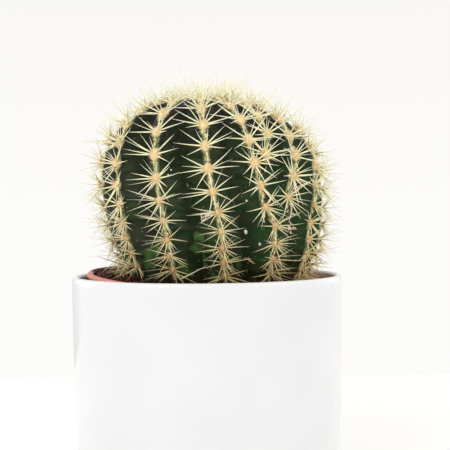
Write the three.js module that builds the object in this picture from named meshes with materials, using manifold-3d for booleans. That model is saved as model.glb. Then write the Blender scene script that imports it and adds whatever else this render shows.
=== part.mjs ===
// A round, ribbed cactus in its nursery pot, standing in a white glazed outer pot.
//
// Millimetres, +Z up. The origin is the middle of the outer pot's flat foot, and the front of
// the plant, the side it is usually seen from, faces -Y. Every piece rests in or on the next:
// the cactus stands in a hole in the potting soil, the soil fills the terracotta-coloured
// nursery pot, and that pot leans a little inside the outer one, as a dropped-in pot does.

import * as THREE from "three";
import { mergeVertices } from "three/addons/utils/BufferGeometryUtils.js";
import Module from "manifold-3d";

const wasm = await Module();
wasm.setup();

const DEG = Math.PI / 180;

// ---------------------------------------------------------------- driving dimensions

// Outer pot, glazed ceramic: a near-cylinder that draws in a little towards its foot.
const OUTER = {
  radius: 70, // at the rim, outside
  height: 120,
  footDrawIn: 3.5, // how much smaller the radius is at the foot
  drawInPower: 1.6, // the wall stays upright near the rim and draws in lower down
  wall: 3.6,
  floor: 5,
  footRound: 5, // radius of the rounding where wall meets foot
  sides: 60,
};

// Nursery pot, thin moulded plastic with a thick lip.
const NURSERY = {
  rimRadius: 63.8, // outside of the lip
  lipWidth: 3.3,
  lipHeight: 11, // the collar below the lip
  baseRadius: 46,
  baseRound: 2, // where the wall meets the base
  height: 110.9,
  wall: 1.6,
  step: 1.2, // height of the slanted step from the wall out to the collar
  stepWidth: 1.6,
  drainHoles: 8,
  drainHoleRadius: 4,
  drainCircleRadius: 32,
  sides: 48,
};
// It leans to the right and a little to the front, so its lip shows above the outer pot's only
// on the left.
const NURSERY_SLOPE = { x: 0.06, y: -0.02 }; // horizontal lean per unit of height
const NURSERY_RIM_CENTRE = { x: 1.8, y: -1, z: 118.85 };

// Potting soil.
const SOIL = {
  belowRim: 3.8,
  gap: 0.4, // clearance to the pot's wall and to the stem
  relief: 0.9, // height of its larger lumps
  finerLumps: 0.6, // height of the smaller ones, as a share of that
  clear: 1, // least height of spines and areoles above it
  shoulder: 2, // how far below the collar the plug widens into it
  shoulderWidth: 1,
  rings: 8,
  sides: 36,
};

// The cactus. Its own frame stands on the soil line, and heights below are from there.
const STEM = {
  foot: { x: 6.6, y: 0, z: 118 }, // the soil line's centre in the part's frame
  leanDegrees: 4.8, // the axis leans to the left, seen from the front
  slant: -0.042, // and each level part of the body sits this far aside per unit of height
  crownSlope: -0.08, // slope of the crown's level parts, falling to the right
  radius: 56.9, // over the rib crests, at the waist
  waist: 47.5, // height of the widest place
  crown: 45.5, // from the waist up to the top
  keel: 67, // from the waist down to the buried end of the round body
  roundness: 2.26, // exponent of the outline: 2 would be an ellipse
  dimpleDepth: 5,
  dimpleRadius: 20,
  rootRadius: 7,
  rootTipRadius: 1.5,
  rootTop: -15,
  rootTip: -62,
  rootSides: 9,
};

const RIB = {
  depth: 9.5, // from crest to valley, between ribs a full pitch apart
  perGap: 0.36, // depth as a share of the distance to the next crest
  mergedBelow: 5, // degrees: crests closer than this are one crest
  valleyTurn: 0.8 * Math.PI, // how far a cosine runs from crest to valley: under pi, a V
};

// The ribs. A knot is [height from the waist, bearing], and a bearing is in degrees from the
// front, growing to the right. A rib that forks off another starts beside it, so its first
// knots follow its parent's. first is the height from the waist of a rib's lowest areole, and
// pace is how widely its areoles stand, where that isn't 1.
const FRONT_RIBS = [
  { knots: [[-46, 1], [-20, 2], [5, 0], [46, 0.5]], first: -43.9 },
  { knots: [[-46, 30], [-23, 30], [-10, 24], [10, 22], [46, 23]], first: -44.7, pace: 1.05 },
  { knots: [[-46, 33], [-23, 33], [-10, 27], [8, 28.5], [24, 35], [46, 43]], first: 11.2 },
  { knots: [[-46, 36], [-23, 35], [-10, 38.5], [10, 48], [46, 61]], first: -9.9 },
  { knots: [[-46, 58], [-24, 56], [-6, 63], [16, 71], [46, 82]], first: -42.3 },
];
const BACK_RIBS = {
  from: 88,
  to: 256,
  count: 7,
  twist: 3, // degrees that a back rib turns from foot to crown
  wander: 2, // degrees that it strays from an even spacing
  lowest: -44, // the lowest areole's height from the waist ...
  lowestRange: 4, // ... and how much higher it may start
  fork: 3, // the back rib that forks, counted from 0
  forkHeight: 8,
  forkSpread: 9,
  apart: 1.5, // how far each half stands to the side below the fork
  firstAbove: 6, // height of the second half's lowest areole above the fork
};
const LEFT_RIBS = [
  { knots: [[-46, 281], [0, 284], [46, 276]], first: -38 },
  { knots: [[-46, 305], [-10, 308.5], [14, 308.5], [46, 300]], first: -36, pace: 0.9 },
  { knots: [[-46, 331.5], [-20, 335], [46, 334]], first: -38.9 },
];

// Areoles, the woolly pads that carry the spines, one above the other along each crest.
const AREOLE = {
  width: 4.2,
  height: 5.5,
  proud: 2, // how far a pad stands out of its crest
  sunk: 2.2,
  pitchAtWaist: 10.6,
  pitchPerHeight: 0.08, // older areoles, lower down, are closer together
  crownPitch: 3.6, // near the top the pitch falls to this ...
  crownPitchPerRadius: 0.3, // ... plus this much of the distance from the axis
  smallest: 0.72, // size of the youngest, at the top, as a share of a full one
  lastRadius: 13, // no separate areoles nearer the axis than this
  growingWidth: 24, // distance over which they grow from the smallest to full size
};
const CROWN_WOOL = {
  radius: 12.5,
  edgeHeight: 1.2,
  shoulderRadius: 7.5,
  shoulderHeight: 4.2,
  proud: 5,
  sunk: 4,
  sides: 10,
};

// Spines: [turn from straight up the rib, lift off the surface, length], degrees and mm.
// Each leaves its pad through the side that it points to. Areoles take the sets in turn.
const SPINES = {
  root: 0.7, // radius at the root
  sunk: 1.6,
  sets: [
    [[76, 24, 13], [-100, 20, 12.5], [176, 50, 15]],
    [[-72, 26, 13.5], [104, 18, 12], [4, 42, 12.5]],
  ],
  // Young spines on the crown's wool: two circles of them in turn, the inner one steeper.
  crown: { count: 12, length: 14, lift: [80, 64], circle: [3.8, 8.5], height: 2 },
  erect: 60, // degrees more lift, per unit that an areole is smaller than a full one
  strayTurn: 12, // degrees either way
  strayLift: 7,
  strayLength: 0.12, // share of the length
  nudge: 0.05, // how much a spine is turned up at a time, until it clears the soil
};

const COLUMNS_PER_RIB = 4;
const STEM_RINGS = 15;
const CREST_STRIDE = 0.0005; // step along the outline, as a share of it
const SEED = 20406;

// ---------------------------------------------------------------- small tools

// Random numbers from 0 to 1, the same on every run.
function seededDraws(seed) {
  let state = seed >>> 0;
  return () => {
    state = (Math.imul(state, 1664525) + 1013904223) >>> 0;
    return state / 4294967296;
  };
}

const smooth = (t) => t * t * (3 - 2 * t);

// Value of a smooth line through [position, value] knots.
function alongKnots(knots, at) {
  if (at <= knots[0][0]) return knots[0][1];
  for (let i = 1; i < knots.length; i++) {
    const [a, va] = knots[i - 1];
    const [b, vb] = knots[i];
    if (at <= b) return va + (vb - va) * smooth((at - a) / (b - a));
  }
  return knots[knots.length - 1][1];
}

function toSolid(geometry) {
  const bare = geometry.index ? geometry.toNonIndexed() : geometry.clone();
  bare.deleteAttribute("normal");
  bare.deleteAttribute("uv");
  const merged = mergeVertices(bare, 1e-4);
  return new wasm.Manifold(
    new wasm.Mesh({
      numProp: 3,
      vertProperties: new Float32Array(merged.getAttribute("position").array),
      triVerts: new Uint32Array(merged.index.array),
    }),
  );
}

function toGeometry(solid) {
  const mesh = solid.getMesh();
  const geometry = new THREE.BufferGeometry();
  const position = new THREE.BufferAttribute(new Float32Array(mesh.vertProperties), 3);
  geometry.setAttribute("position", position);
  geometry.setIndex(new THREE.BufferAttribute(new Uint32Array(mesh.triVerts), 1));
  geometry.computeVertexNormals();
  return geometry;
}

// A closed body of revolution about Z, from a profile of [radius, height] points that runs
// from the axis at the bottom, outwards and up, and back to the axis.
function revolved(profile, sides) {
  const points = profile.map(([r, z]) => new THREE.Vector2(Math.max(r, 0), z));
  return new THREE.LatheGeometry(points, sides).rotateX(Math.PI / 2);
}

// Points on an arc round [r, z], from one angle to another, in degrees from outwards to up.
function arc([r, z], radius, from, to, steps) {
  return Array.from({ length: steps + 1 }, (_, i) => {
    const a = (from + ((to - from) * i) / steps) * DEG;
    return [r + radius * Math.cos(a), z + radius * Math.sin(a)];
  });
}

// Skins a stack of closed rings, with a point at each end, as one closed geometry.
function skinned(bottom, rings, top) {
  const count = rings[0].length;
  const points = [bottom, ...rings.flat(), top];
  const at = (ring, i) => 1 + ring * count + (i % count);
  const last = points.length - 1;
  const index = [];
  for (let i = 0; i < count; i++) {
    index.push(0, at(0, i + 1), at(0, i));
    for (let k = 0; k + 1 < rings.length; k++) {
      index.push(at(k, i), at(k, i + 1), at(k + 1, i));
      index.push(at(k, i + 1), at(k + 1, i + 1), at(k + 1, i));
    }
    index.push(last, at(rings.length - 1, i), at(rings.length - 1, i + 1));
  }
  const geometry = new THREE.BufferGeometry();
  geometry.setAttribute("position", new THREE.Float32BufferAttribute(points.flat(), 3));
  geometry.setIndex(index);
  return geometry;
}

function named(name, geometry, material) {
  const mesh = new THREE.Mesh(geometry, material);
  mesh.name = name;
  return mesh;
}

// ---------------------------------------------------------------- finishes

const finish = (color, roughness) =>
  new THREE.MeshStandardMaterial({ color, roughness, metalness: 0 });
const glaze = finish("#f4f4f3", 0.12);
const terracottaPlastic = finish("#b5604a", 0.5);
const darkSoil = finish("#2e1c14", 1);
const cactusSkin = finish("#2f4a2c", 0.55);

// ---------------------------------------------------------------- outer pot

function outerWallRadius(z) {
  const down = 1 - z / OUTER.height;
  return OUTER.radius - OUTER.footDrawIn * Math.pow(down, OUTER.drawInPower);
}

function outerPot() {
  const { height, wall, floor, footRound, sides } = OUTER;
  const lip = wall / 2;
  const upTheWall = (from, to, inset, steps) =>
    Array.from({ length: steps + 1 }, (_, i) => {
      const z = from + ((to - from) * i) / steps;
      return [outerWallRadius(z) - inset, z];
    });
  const footCentre = [outerWallRadius(footRound) - footRound, footRound];
  const floorCentre = [outerWallRadius(floor + footRound) - wall - footRound, floor + footRound];
  const profile = [
    [0, 0],
    ...arc(footCentre, footRound, -90, -30, 2),
    ...upTheWall(footRound, height - lip, 0, 4),
    ...arc([outerWallRadius(height) - lip, height - lip], lip, 45, 135, 2),
    ...upTheWall(height - lip, floor + footRound, wall, 2),
    ...arc(floorCentre, footRound, -30, -90, 2),
    [0, floor],
  ];
  return named("outer_pot", revolved(profile, sides), glaze);
}

// ---------------------------------------------------------------- nursery pot and soil

// Outside radius of the nursery pot's wall at a height above its base.
function nurseryRadius(z) {
  const collar = NURSERY.height - NURSERY.lipHeight;
  const collarRadius = NURSERY.rimRadius - NURSERY.lipWidth + NURSERY.wall;
  const shoulder = collarRadius - NURSERY.stepWidth;
  if (z >= collar) return collarRadius;
  return NURSERY.baseRadius + ((shoulder - NURSERY.baseRadius) * z) / collar;
}

function nurseryPot() {
  const { rimRadius, lipWidth, lipHeight, height, wall, step, baseRound, sides } = NURSERY;
  const collar = height - lipHeight;
  const lip = lipWidth / 2;
  const lipCentre = [rimRadius - lip, height - lip];
  const underLip = height - lipWidth - lip / 2;
  const profile = [
    [0, 0],
    [nurseryRadius(0) - baseRound, 0],
    [nurseryRadius(baseRound), baseRound],
    [nurseryRadius(collar - step), collar - step],
    [nurseryRadius(collar), collar],
    [nurseryRadius(height), underLip],
    ...arc(lipCentre, lip, -30, 180, 6),
    [nurseryRadius(height) - wall, underLip],
    [nurseryRadius(collar) - wall, collar],
    [nurseryRadius(collar - step) - wall, collar - step],
    [nurseryRadius(wall) - wall, wall],
    [0, wall],
  ];
  const { drainHoles, drainHoleRadius, drainCircleRadius } = NURSERY;
  let pot = toSolid(revolved(profile, sides));
  for (let i = 0; i < drainHoles; i++) {
    const turn = (i / drainHoles) * 2 * Math.PI;
    const hole = new THREE.CylinderGeometry(drainHoleRadius, drainHoleRadius, 4 * wall, 8);
    hole.rotateX(Math.PI / 2);
    hole.translate(drainCircleRadius * Math.cos(turn), drainCircleRadius * Math.sin(turn), 0);
    pot = pot.subtract(toSolid(hole));
  }
  return named("nursery_pot", toGeometry(pot), terracottaPlastic);
}

// The soil's top: crossing waves of two sizes make low lumps, which fade out at the edge.
function soilHeight(x, y, edge) {
  const larger = Math.sin(x * 0.21 + 0.6) * Math.cos(y * 0.26);
  const smaller = Math.sin(x * 0.47 - y * 0.39 + 1.7);
  const lumps = SOIL.relief * (larger + SOIL.finerLumps * smaller);
  return NURSERY.height - SOIL.belowRim + lumps * (1 - Math.pow(edge, 6));
}

// A solid plug of soil, before the stem's hole is cut.
function soilPlug() {
  const { gap, rings, sides, shoulder, shoulderWidth } = SOIL;
  const level = NURSERY.height - SOIL.belowRim;
  const innerRadius = (z) => nurseryRadius(z) - NURSERY.wall - gap;
  const circle = (radius, height) =>
    Array.from({ length: sides }, (_, i) => {
      const turn = (i / sides) * 2 * Math.PI;
      const x = radius * Math.cos(turn);
      const y = radius * Math.sin(turn);
      return [x, y, typeof height === "number" ? height : height(x, y)];
    });
  const collar = NURSERY.height - NURSERY.lipHeight;
  const floor = NURSERY.wall + gap;
  const wallInside = innerRadius(collar - shoulder);
  const topRadius = wallInside + shoulderWidth;
  const stack = [
    circle(innerRadius(floor), floor),
    circle(wallInside, collar - shoulder),
    circle(topRadius, level - shoulderWidth),
  ];
  for (let k = 0; k < rings; k++) {
    const edge = 1 - k / rings;
    stack.push(circle(topRadius * edge, (x, y) => soilHeight(x, y, edge)));
  }
  return skinned([0, 0, floor], stack, [0, 0, soilHeight(0, 0, 0)]);
}

// ---------------------------------------------------------------- cactus stem

// Outline of the round body: radius and height from the waist, for a share of the way from
// the buried end, 0, to the top, 1. The waist is at one half.
function outline(share) {
  const angle = (share - 0.5) * Math.PI;
  const power = 2 / STEM.roundness;
  const reach = angle < 0 ? STEM.keel : STEM.crown;
  const radius = STEM.radius * Math.pow(Math.max(Math.cos(angle), 0), power);
  const rise = Math.sign(angle) * reach * Math.pow(Math.abs(Math.sin(angle)), power);
  const in01 = Math.min(radius / STEM.dimpleRadius, 1);
  const dimple = angle > 0 ? STEM.dimpleDepth * Math.pow(1 - in01 * in01, 2) : 0;
  return { radius, rise: rise - dimple };
}

// A point of the body, at a distance from its slanting axis, a bearing and a height from the
// waist. Above the waist its level parts slope down to the right.
function bodyPoint(radius, bearing, rise) {
  const aside = radius * Math.sin(bearing * DEG);
  const sloped = rise + (STEM.crownSlope * aside * Math.max(rise, 0)) / STEM.crown;
  const x = STEM.slant * rise + aside;
  return new THREE.Vector3(x, -radius * Math.cos(bearing * DEG), STEM.waist + sloped);
}

function backRibs(draw) {
  const { from, to, count, twist, wander, fork, forkHeight, forkSpread } = BACK_RIBS;
  const ribs = [];
  for (let i = 0; i < count; i++) {
    const bearing = from + ((to - from) * i) / (count - 1) + wander * (2 * draw() - 1);
    const first = BACK_RIBS.lowest + BACK_RIBS.lowestRange * draw();
    if (i !== fork) {
      ribs.push({ knots: [[-46, bearing], [46, bearing + twist]], first });
      continue;
    }
    for (const side of [-1, 1]) {
      const below = bearing + BACK_RIBS.apart * side;
      const knots = [[-46, below], [forkHeight, below], [36, bearing + forkSpread * side]];
      ribs.push({ knots, first: side < 0 ? first : forkHeight + BACK_RIBS.firstAbove });
    }
  }
  return ribs;
}

// How deep the surface lies below the crests, at a share of the way from one rib's crest to
// the next, where the crests are a gap in degrees apart.
function valley(share, gap, radius) {
  if (gap <= RIB.mergedBelow) return 0;
  const fromCrest = 1 - Math.abs(2 * share - 1);
  const cut = (1 - Math.cos(RIB.valleyTurn * fromCrest)) / (1 - Math.cos(RIB.valleyTurn));
  const apart = radius * (gap - RIB.mergedBelow) * DEG;
  return Math.min(RIB.depth, RIB.perGap * apart) * cut;
}

// The ribbed body as a closed geometry, grown outwards by a clearance if one is given.
function stemBody(ribs, clearance = 0) {
  const rings = [];
  for (let k = 1; k < STEM_RINGS; k++) {
    const { radius, rise } = outline(k / STEM_RINGS);
    const ring = [];
    ribs.forEach((rib, i) => {
      const next = ribs[(i + 1) % ribs.length];
      const here = alongKnots(rib.knots, rise);
      const gap = (alongKnots(next.knots, rise) - here + 720) % 360;
      for (let c = 0; c < COLUMNS_PER_RIB; c++) {
        const share = c / COLUMNS_PER_RIB;
        const reach = radius - valley(share, gap, radius) + clearance;
        ring.push(bodyPoint(reach, here + gap * share, rise).toArray());
      }
    });
    rings.push(ring);
  }
  const onAxis = (share, past) => bodyPoint(0, 0, outline(share).rise + past).toArray();
  return skinned(onAxis(0, -clearance), rings, onAxis(1, clearance));
}

// The tapering root below the round body.
function root(clearance = 0) {
  const { rootTop, rootTip, rootSides, slant, keel } = STEM;
  const thick = STEM.rootRadius + clearance;
  const thin = STEM.rootTipRadius + clearance;
  const cone = new THREE.CylinderGeometry(thick, thin, rootTop - rootTip, rootSides);
  cone.rotateX(Math.PI / 2);
  return cone.translate(-slant * keel, 0, (rootTop + rootTip) / 2);
}

// ---------------------------------------------------------------- areoles and spines

// The greatest height of the soil, or of a pot's lip outside it, in the stem's own frame.
function soilLine({ x, y }) {
  const lean = Math.tan(STEM.leanDegrees * DEG);
  const fromPotAxis = Math.hypot(
    x + STEM.foot.x - NURSERY_RIM_CENTRE.x,
    y + STEM.foot.y - NURSERY_RIM_CENTRE.y,
  );
  const overLip = fromPotAxis > NURSERY.rimRadius - NURSERY.lipWidth - SOIL.clear;
  const depth = overLip ? 0 : SOIL.belowRim - SOIL.relief * (1 + SOIL.finerLumps);
  const slopeX = -NURSERY_SLOPE.x - lean;
  const level = NURSERY_RIM_CENTRE.z - STEM.foot.z - depth + slopeX * x - NURSERY_SLOPE.y * y;
  const fromAxis = Math.hypot(x + STEM.foot.x, y + STEM.foot.y);
  const overRim = fromAxis > OUTER.radius - OUTER.wall - SOIL.clear;
  return overRim ? Math.max(level, OUTER.height - STEM.foot.z - lean * x) : level;
}

// A place on a crest: the point, and unit vectors out of the surface, up the rib and aside.
function onCrest(rib, share) {
  const place = (s) => {
    const { radius, rise } = outline(s);
    return bodyPoint(radius, alongKnots(rib.knots, rise), rise);
  };
  const near = 8 * CREST_STRIDE;
  const point = place(share);
  const up = place(share + near).sub(place(share - near)).normalize();
  const bearing = alongKnots(rib.knots, outline(share).rise) * DEG;
  const aside = new THREE.Vector3(Math.cos(bearing), Math.sin(bearing), 0);
  const out = new THREE.Vector3().crossVectors(aside, up).normalize();
  aside.crossVectors(up, out);
  return { point, out, up, aside };
}

// Shares of the outline at which a rib's areoles sit.
function areoleShares(rib) {
  const { first, pace = 1 } = rib;
  const shares = [];
  let share = 0.5;
  while (outline(share).rise > first) share -= CREST_STRIDE;
  while (outline(share).rise < first) share += CREST_STRIDE;
  let walked = 0;
  let pitch = 0;
  for (; share < 1; share += CREST_STRIDE) {
    const a = outline(share);
    const b = outline(share + CREST_STRIDE);
    if (walked >= pitch) {
      if (a.radius < AREOLE.lastRadius && share > 0.5) break;
      shares.push(share);
      walked = 0;
      const byAge = pace * (AREOLE.pitchAtWaist + AREOLE.pitchPerHeight * a.rise);
      const byCrown = AREOLE.crownPitch + AREOLE.crownPitchPerRadius * a.radius;
      pitch = a.rise > 0 ? Math.min(byAge, byCrown) : byAge;
    }
    walked += Math.hypot(a.radius - b.radius, a.rise - b.rise);
  }
  return shares;
}

// How large an areole and its spines are, by its distance from the axis near the top.
function growth(share) {
  const { radius, rise } = outline(share);
  if (rise < 0) return 1;
  const t = Math.min((radius - AREOLE.lastRadius) / AREOLE.growingWidth, 1);
  return AREOLE.smallest + (1 - AREOLE.smallest) * Math.max(t, 0);
}

const placed = (geometry, { point, out, up, aside }) =>
  geometry.applyMatrix4(new THREE.Matrix4().makeBasis(aside, up, out).setPosition(point));

// A woolly pad: a low four-sided dome over a sunk point, with a side to each spine.
function areolePad(place, size) {
  const { width, height, proud, sunk } = AREOLE;
  const right = (width / 2) * size;
  const top = (height / 2) * size;
  const ring = [[right, top, 0], [-right, top, 0], [-right, -top, 0], [right, -top, 0]];
  return placed(skinned([0, 0, -sunk], [ring], [0, 0, proud * size]), place);
}

const standsClear = ({ point }) => point.z - 0.5 * AREOLE.height > soilLine(point) + SOIL.clear;

// The middle of the pad's side that faces a turn from straight up the rib: a third of the way
// along each of the lines from the pad's middle to its edges and its peak.
function padSide(place, turn, size) {
  const across = Math.round(Math.sin(turn * DEG));
  const along = Math.round(Math.cos(turn * DEG));
  return place.point
    .clone()
    .addScaledVector(place.aside, (AREOLE.width / 3) * size * across)
    .addScaledVector(place.up, (AREOLE.height / 3) * size * along)
    .addScaledVector(place.out, (AREOLE.proud / 3) * size);
}

// One spine: a slim three-sided needle that starts below a place's surface.
function spine(place, from, turn, lift, length, draw) {
  const stray = () => 2 * draw() - 1;
  const aroundRib = (turn + SPINES.strayTurn * stray()) * DEG;
  const offSurface = (lift + SPINES.strayLift * stray()) * DEG;
  const reach = length * (1 + SPINES.strayLength * stray());
  const direction = new THREE.Vector3()
    .addScaledVector(place.aside, Math.cos(offSurface) * Math.sin(aroundRib))
    .addScaledVector(place.up, Math.cos(offSurface) * Math.cos(aroundRib))
    .addScaledVector(place.out, Math.sin(offSurface));
  const tip = () => from.clone().addScaledVector(direction, reach);
  while (tip().z < soilLine(tip()) + SOIL.clear) {
    direction.z += SPINES.nudge;
    direction.normalize();
  }
  const needle = new THREE.ConeGeometry(SPINES.root, reach + SPINES.sunk, 3, 1, false);
  needle.translate(0, (reach + SPINES.sunk) / 2 - SPINES.sunk, 0);
  const turned = new THREE.Quaternion().setFromUnitVectors(new THREE.Vector3(0, 1, 0), direction);
  needle.applyQuaternion(turned);
  return needle.translate(from.x, from.y, from.z);
}

function spinesOf(rib, draw) {
  const solids = [];
  areoleShares(rib).forEach((share, number) => {
    const place = onCrest(rib, share);
    if (!standsClear(place)) return;
    const size = growth(share);
    solids.push(toSolid(areolePad(place, size)));
    for (const [turn, lift, length] of SPINES.sets[number % SPINES.sets.length]) {
      const erect = lift + (1 - size) * SPINES.erect;
      solids.push(toSolid(spine(place, padSide(place, turn, size), turn, erect, length, draw)));
    }
  });
  return solids;
}

// The felted top with its ring of young, upright spines.
function crown(draw) {
  const middle = bodyPoint(0, 0, outline(1).rise);
  const { radius, edgeHeight, shoulderRadius, shoulderHeight, proud, sunk, sides } = CROWN_WOOL;
  const circle = (r, z) =>
    Array.from({ length: sides }, (_, i) => {
      const turn = (i / sides) * 2 * Math.PI;
      return [middle.x + r * Math.cos(turn), r * Math.sin(turn), middle.z + z];
    });
  const dome = skinned(
    [middle.x, 0, middle.z - sunk],
    [circle(radius, edgeHeight), circle(shoulderRadius, shoulderHeight)],
    [middle.x, 0, middle.z + proud],
  );
  const solids = [toSolid(dome)];
  const young = SPINES.crown;
  for (let i = 0; i < young.count; i++) {
    const turn = (i / young.count) * 2 * Math.PI;
    const outwards = new THREE.Vector3(Math.sin(turn), -Math.cos(turn), 0);
    const place = {
      point: middle.clone().addScaledVector(outwards, young.circle[i % 2]),
      out: new THREE.Vector3(0, 0, 1),
      up: outwards.clone().negate(),
      aside: new THREE.Vector3(Math.cos(turn), Math.sin(turn), 0),
    };
    place.point.z += young.height;
    solids.push(toSolid(spine(place, place.point, 180, young.lift[i % 2], young.length, draw)));
  }
  return solids;
}

// ---------------------------------------------------------------- assembly

function turnedAsCactus(object) {
  object.position.set(STEM.foot.x, STEM.foot.y, STEM.foot.z);
  object.rotation.y = -STEM.leanDegrees * DEG;
  object.updateMatrixWorld(true);
  return object;
}

function turnedAsNursery(object) {
  const axis = new THREE.Vector3(NURSERY_SLOPE.x, NURSERY_SLOPE.y, 1).normalize();
  object.quaternion.setFromUnitVectors(new THREE.Vector3(0, 0, 1), axis);
  const { x, y, z } = NURSERY_RIM_CENTRE;
  object.position.set(x, y, z).addScaledVector(axis, -NURSERY.height);
  object.updateMatrixWorld(true);
  return object;
}

const draw = seededDraws(SEED);
const ribs = [...FRONT_RIBS, ...backRibs(draw), ...LEFT_RIBS];

const cactusGroup = turnedAsCactus(new THREE.Group());
const nurseryGroup = turnedAsNursery(new THREE.Group());

const stem = toSolid(stemBody(ribs)).add(toSolid(root()));
const growths = [...ribs.flatMap((rib) => spinesOf(rib, draw)), ...crown(draw)];
const cactus = growths.reduce((whole, piece) => whole.add(piece), stem);
cactusGroup.add(named("cactus", toGeometry(cactus), cactusSkin));

// The hole that the stem and its root stand in, carried into the tilted soil's frame.
const fromCactusToSoil = nurseryGroup.matrixWorld.clone().invert().multiply(cactusGroup.matrixWorld);
const stemHole = toSolid(stemBody(ribs, SOIL.gap).applyMatrix4(fromCactusToSoil));
const rootHole = toSolid(root(SOIL.gap).applyMatrix4(fromCactusToSoil));
const soil = toSolid(soilPlug()).subtract(stemHole).subtract(rootHole);
nurseryGroup.add(nurseryPot(), named("potting_soil", toGeometry(soil), darkSoil));

const pottedCactus = new THREE.Group();
pottedCactus.add(outerPot(), nurseryGroup, cactusGroup);

export default pottedCactus;
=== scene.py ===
"""A round, ribbed cactus in its nursery pot, standing in a white glazed outer pot.

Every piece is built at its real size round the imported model. Sizes in the classes are
millimetres and angles are degrees, unless a name says otherwise; Blender's own units are metres.
The front of the plant faces -Y, +X is to its right as seen from there, and +Z is up. A rise is
a height from the stem's waist, and a bearing is counted from the front, growing to the right.
"""

import logging
import math
import random
from collections.abc import Callable
from dataclasses import dataclass, field
from enum import Enum

import bmesh
import bpy
from mathutils import Matrix, Vector


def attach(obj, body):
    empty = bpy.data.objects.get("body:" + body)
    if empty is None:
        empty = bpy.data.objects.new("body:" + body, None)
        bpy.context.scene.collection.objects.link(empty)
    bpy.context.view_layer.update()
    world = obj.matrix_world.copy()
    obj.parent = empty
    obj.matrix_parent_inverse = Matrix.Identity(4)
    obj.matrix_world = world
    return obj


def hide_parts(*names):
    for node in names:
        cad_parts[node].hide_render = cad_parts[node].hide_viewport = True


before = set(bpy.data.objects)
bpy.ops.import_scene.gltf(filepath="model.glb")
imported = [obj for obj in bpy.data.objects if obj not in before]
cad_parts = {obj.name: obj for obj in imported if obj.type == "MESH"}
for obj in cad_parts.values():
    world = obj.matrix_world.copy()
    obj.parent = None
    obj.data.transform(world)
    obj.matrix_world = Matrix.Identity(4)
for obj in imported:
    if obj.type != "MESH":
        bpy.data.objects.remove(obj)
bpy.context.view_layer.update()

LOG = logging.getLogger("potted_cactus")
MM = 0.001
BODY = "root"
FULL_TURN = 2 * math.pi
GOLDEN_ANGLE = math.radians(137.5)
SEED = 20406

Knots = list[tuple[float, float]]
Faces = list[tuple[int, ...]]
Node = bpy.types.Node
Socket = bpy.types.NodeSocket
Tree = bpy.types.NodeTree
Thing = bpy.types.Object
Inputs = bpy.types.bpy_prop_collection


# ------------------------------------------------------------------ small tools


def linear(hex_colour: str) -> tuple[float, float, float, float]:
    """Turns an sRGB hex colour into linear RGBA.

    Args:
        hex_colour: Six hex digits, with a leading #.

    Returns:
        Red, green, blue and an alpha of 1, in linear light.
    """
    channels = [int(hex_colour[i : i + 2], 16) / 255 for i in (1, 3, 5)]
    lit = [c / 12.92 if c <= 0.04045 else ((c + 0.055) / 1.055) ** 2.4 for c in channels]
    return (*lit, 1.0)


def per_metre(size_mm: float) -> float:
    """Gives the scale of a pattern whose features have a real size, for metre coordinates."""
    return 1 / (size_mm * MM)


def add_node(tree: Tree, kind: str, *values: object, **named: object) -> Node:
    """Adds a node with its settings and links.

    Args:
        tree: The tree to add to.
        kind: The node's type name.
        values: Its first inputs, in order. An input is a plain value, a socket, a node for
            that node's first output, or a list of these.
        named: Its settings, in lower case, and further inputs, with a capital and _ for a space.

    Returns:
        The new node.
    """
    node = tree.nodes.new(kind)
    for name, value in named.items():
        if name[0].islower():
            setattr(node, name, value)
    shown = [socket for socket in node.inputs if socket.enabled]
    by_name = {socket.name.replace(" ", "_"): socket for socket in reversed(shown)}
    wired = list(zip(shown, values))
    wired += [(by_name[name], value) for name, value in named.items() if name[0].isupper()]
    for socket, value in wired:
        for one in value if isinstance(value, list) else [value]:
            if isinstance(one, Node):
                one = next(output for output in one.outputs if output.enabled)
            if isinstance(one, Socket):
                tree.links.new(one, socket)
            else:
                socket.default_value = one
    return node


def held(value: float, low: float = 0.0, high: float = 1.0) -> float:
    """Holds a value between two limits."""
    return min(max(value, low), high)


def swing(draws: random.Random) -> float:
    """Draws a share between -1 and 1."""
    return 2 * draws.random() - 1


def smooth(t: float) -> float:
    """Eases a share from 0 to 1 in and out, and holds it there outside."""
    t = held(t)
    return t * t * (3 - 2 * t)


def along_knots(knots: Knots, at: float) -> float:
    """Reads a smooth line through knots.

    Args:
        knots: Positions and values, in rising order of position.
        at: The position to read.

    Returns:
        The value there, held level past either end.
    """
    if at <= knots[0][0]:
        return knots[0][1]
    for (a, value_a), (b, value_b) in zip(knots, knots[1:]):
        if at <= b:
            return value_a + (value_b - value_a) * smooth((at - a) / (b - a))
    return knots[-1][1]


def arc(centre: tuple[float, float], radius: float, start: float, end: float, steps: int) -> Knots:
    """Lists points on an arc in a profile's plane.

    Args:
        centre: The arc's centre, as radius and height.
        radius: The arc's own radius.
        start: First angle, from outwards to up.
        end: Last angle.
        steps: How many steps there are between the ends.

    Returns:
        Points as radius and height.
    """
    angles = [math.radians(start + (end - start) * i / steps) for i in range(steps + 1)]
    return [(centre[0] + radius * math.cos(a), centre[1] + radius * math.sin(a)) for a in angles]


def outwards(turn: float) -> Vector:
    """Gives the level unit vector at a turn in radians from +X."""
    return Vector((math.cos(turn), math.sin(turn), 0))


def basis(x: Vector, y: Vector, z: Vector) -> Matrix:
    """Gives the turn whose axes are three unit vectors."""
    return Matrix((x, y, z)).transposed()


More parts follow.
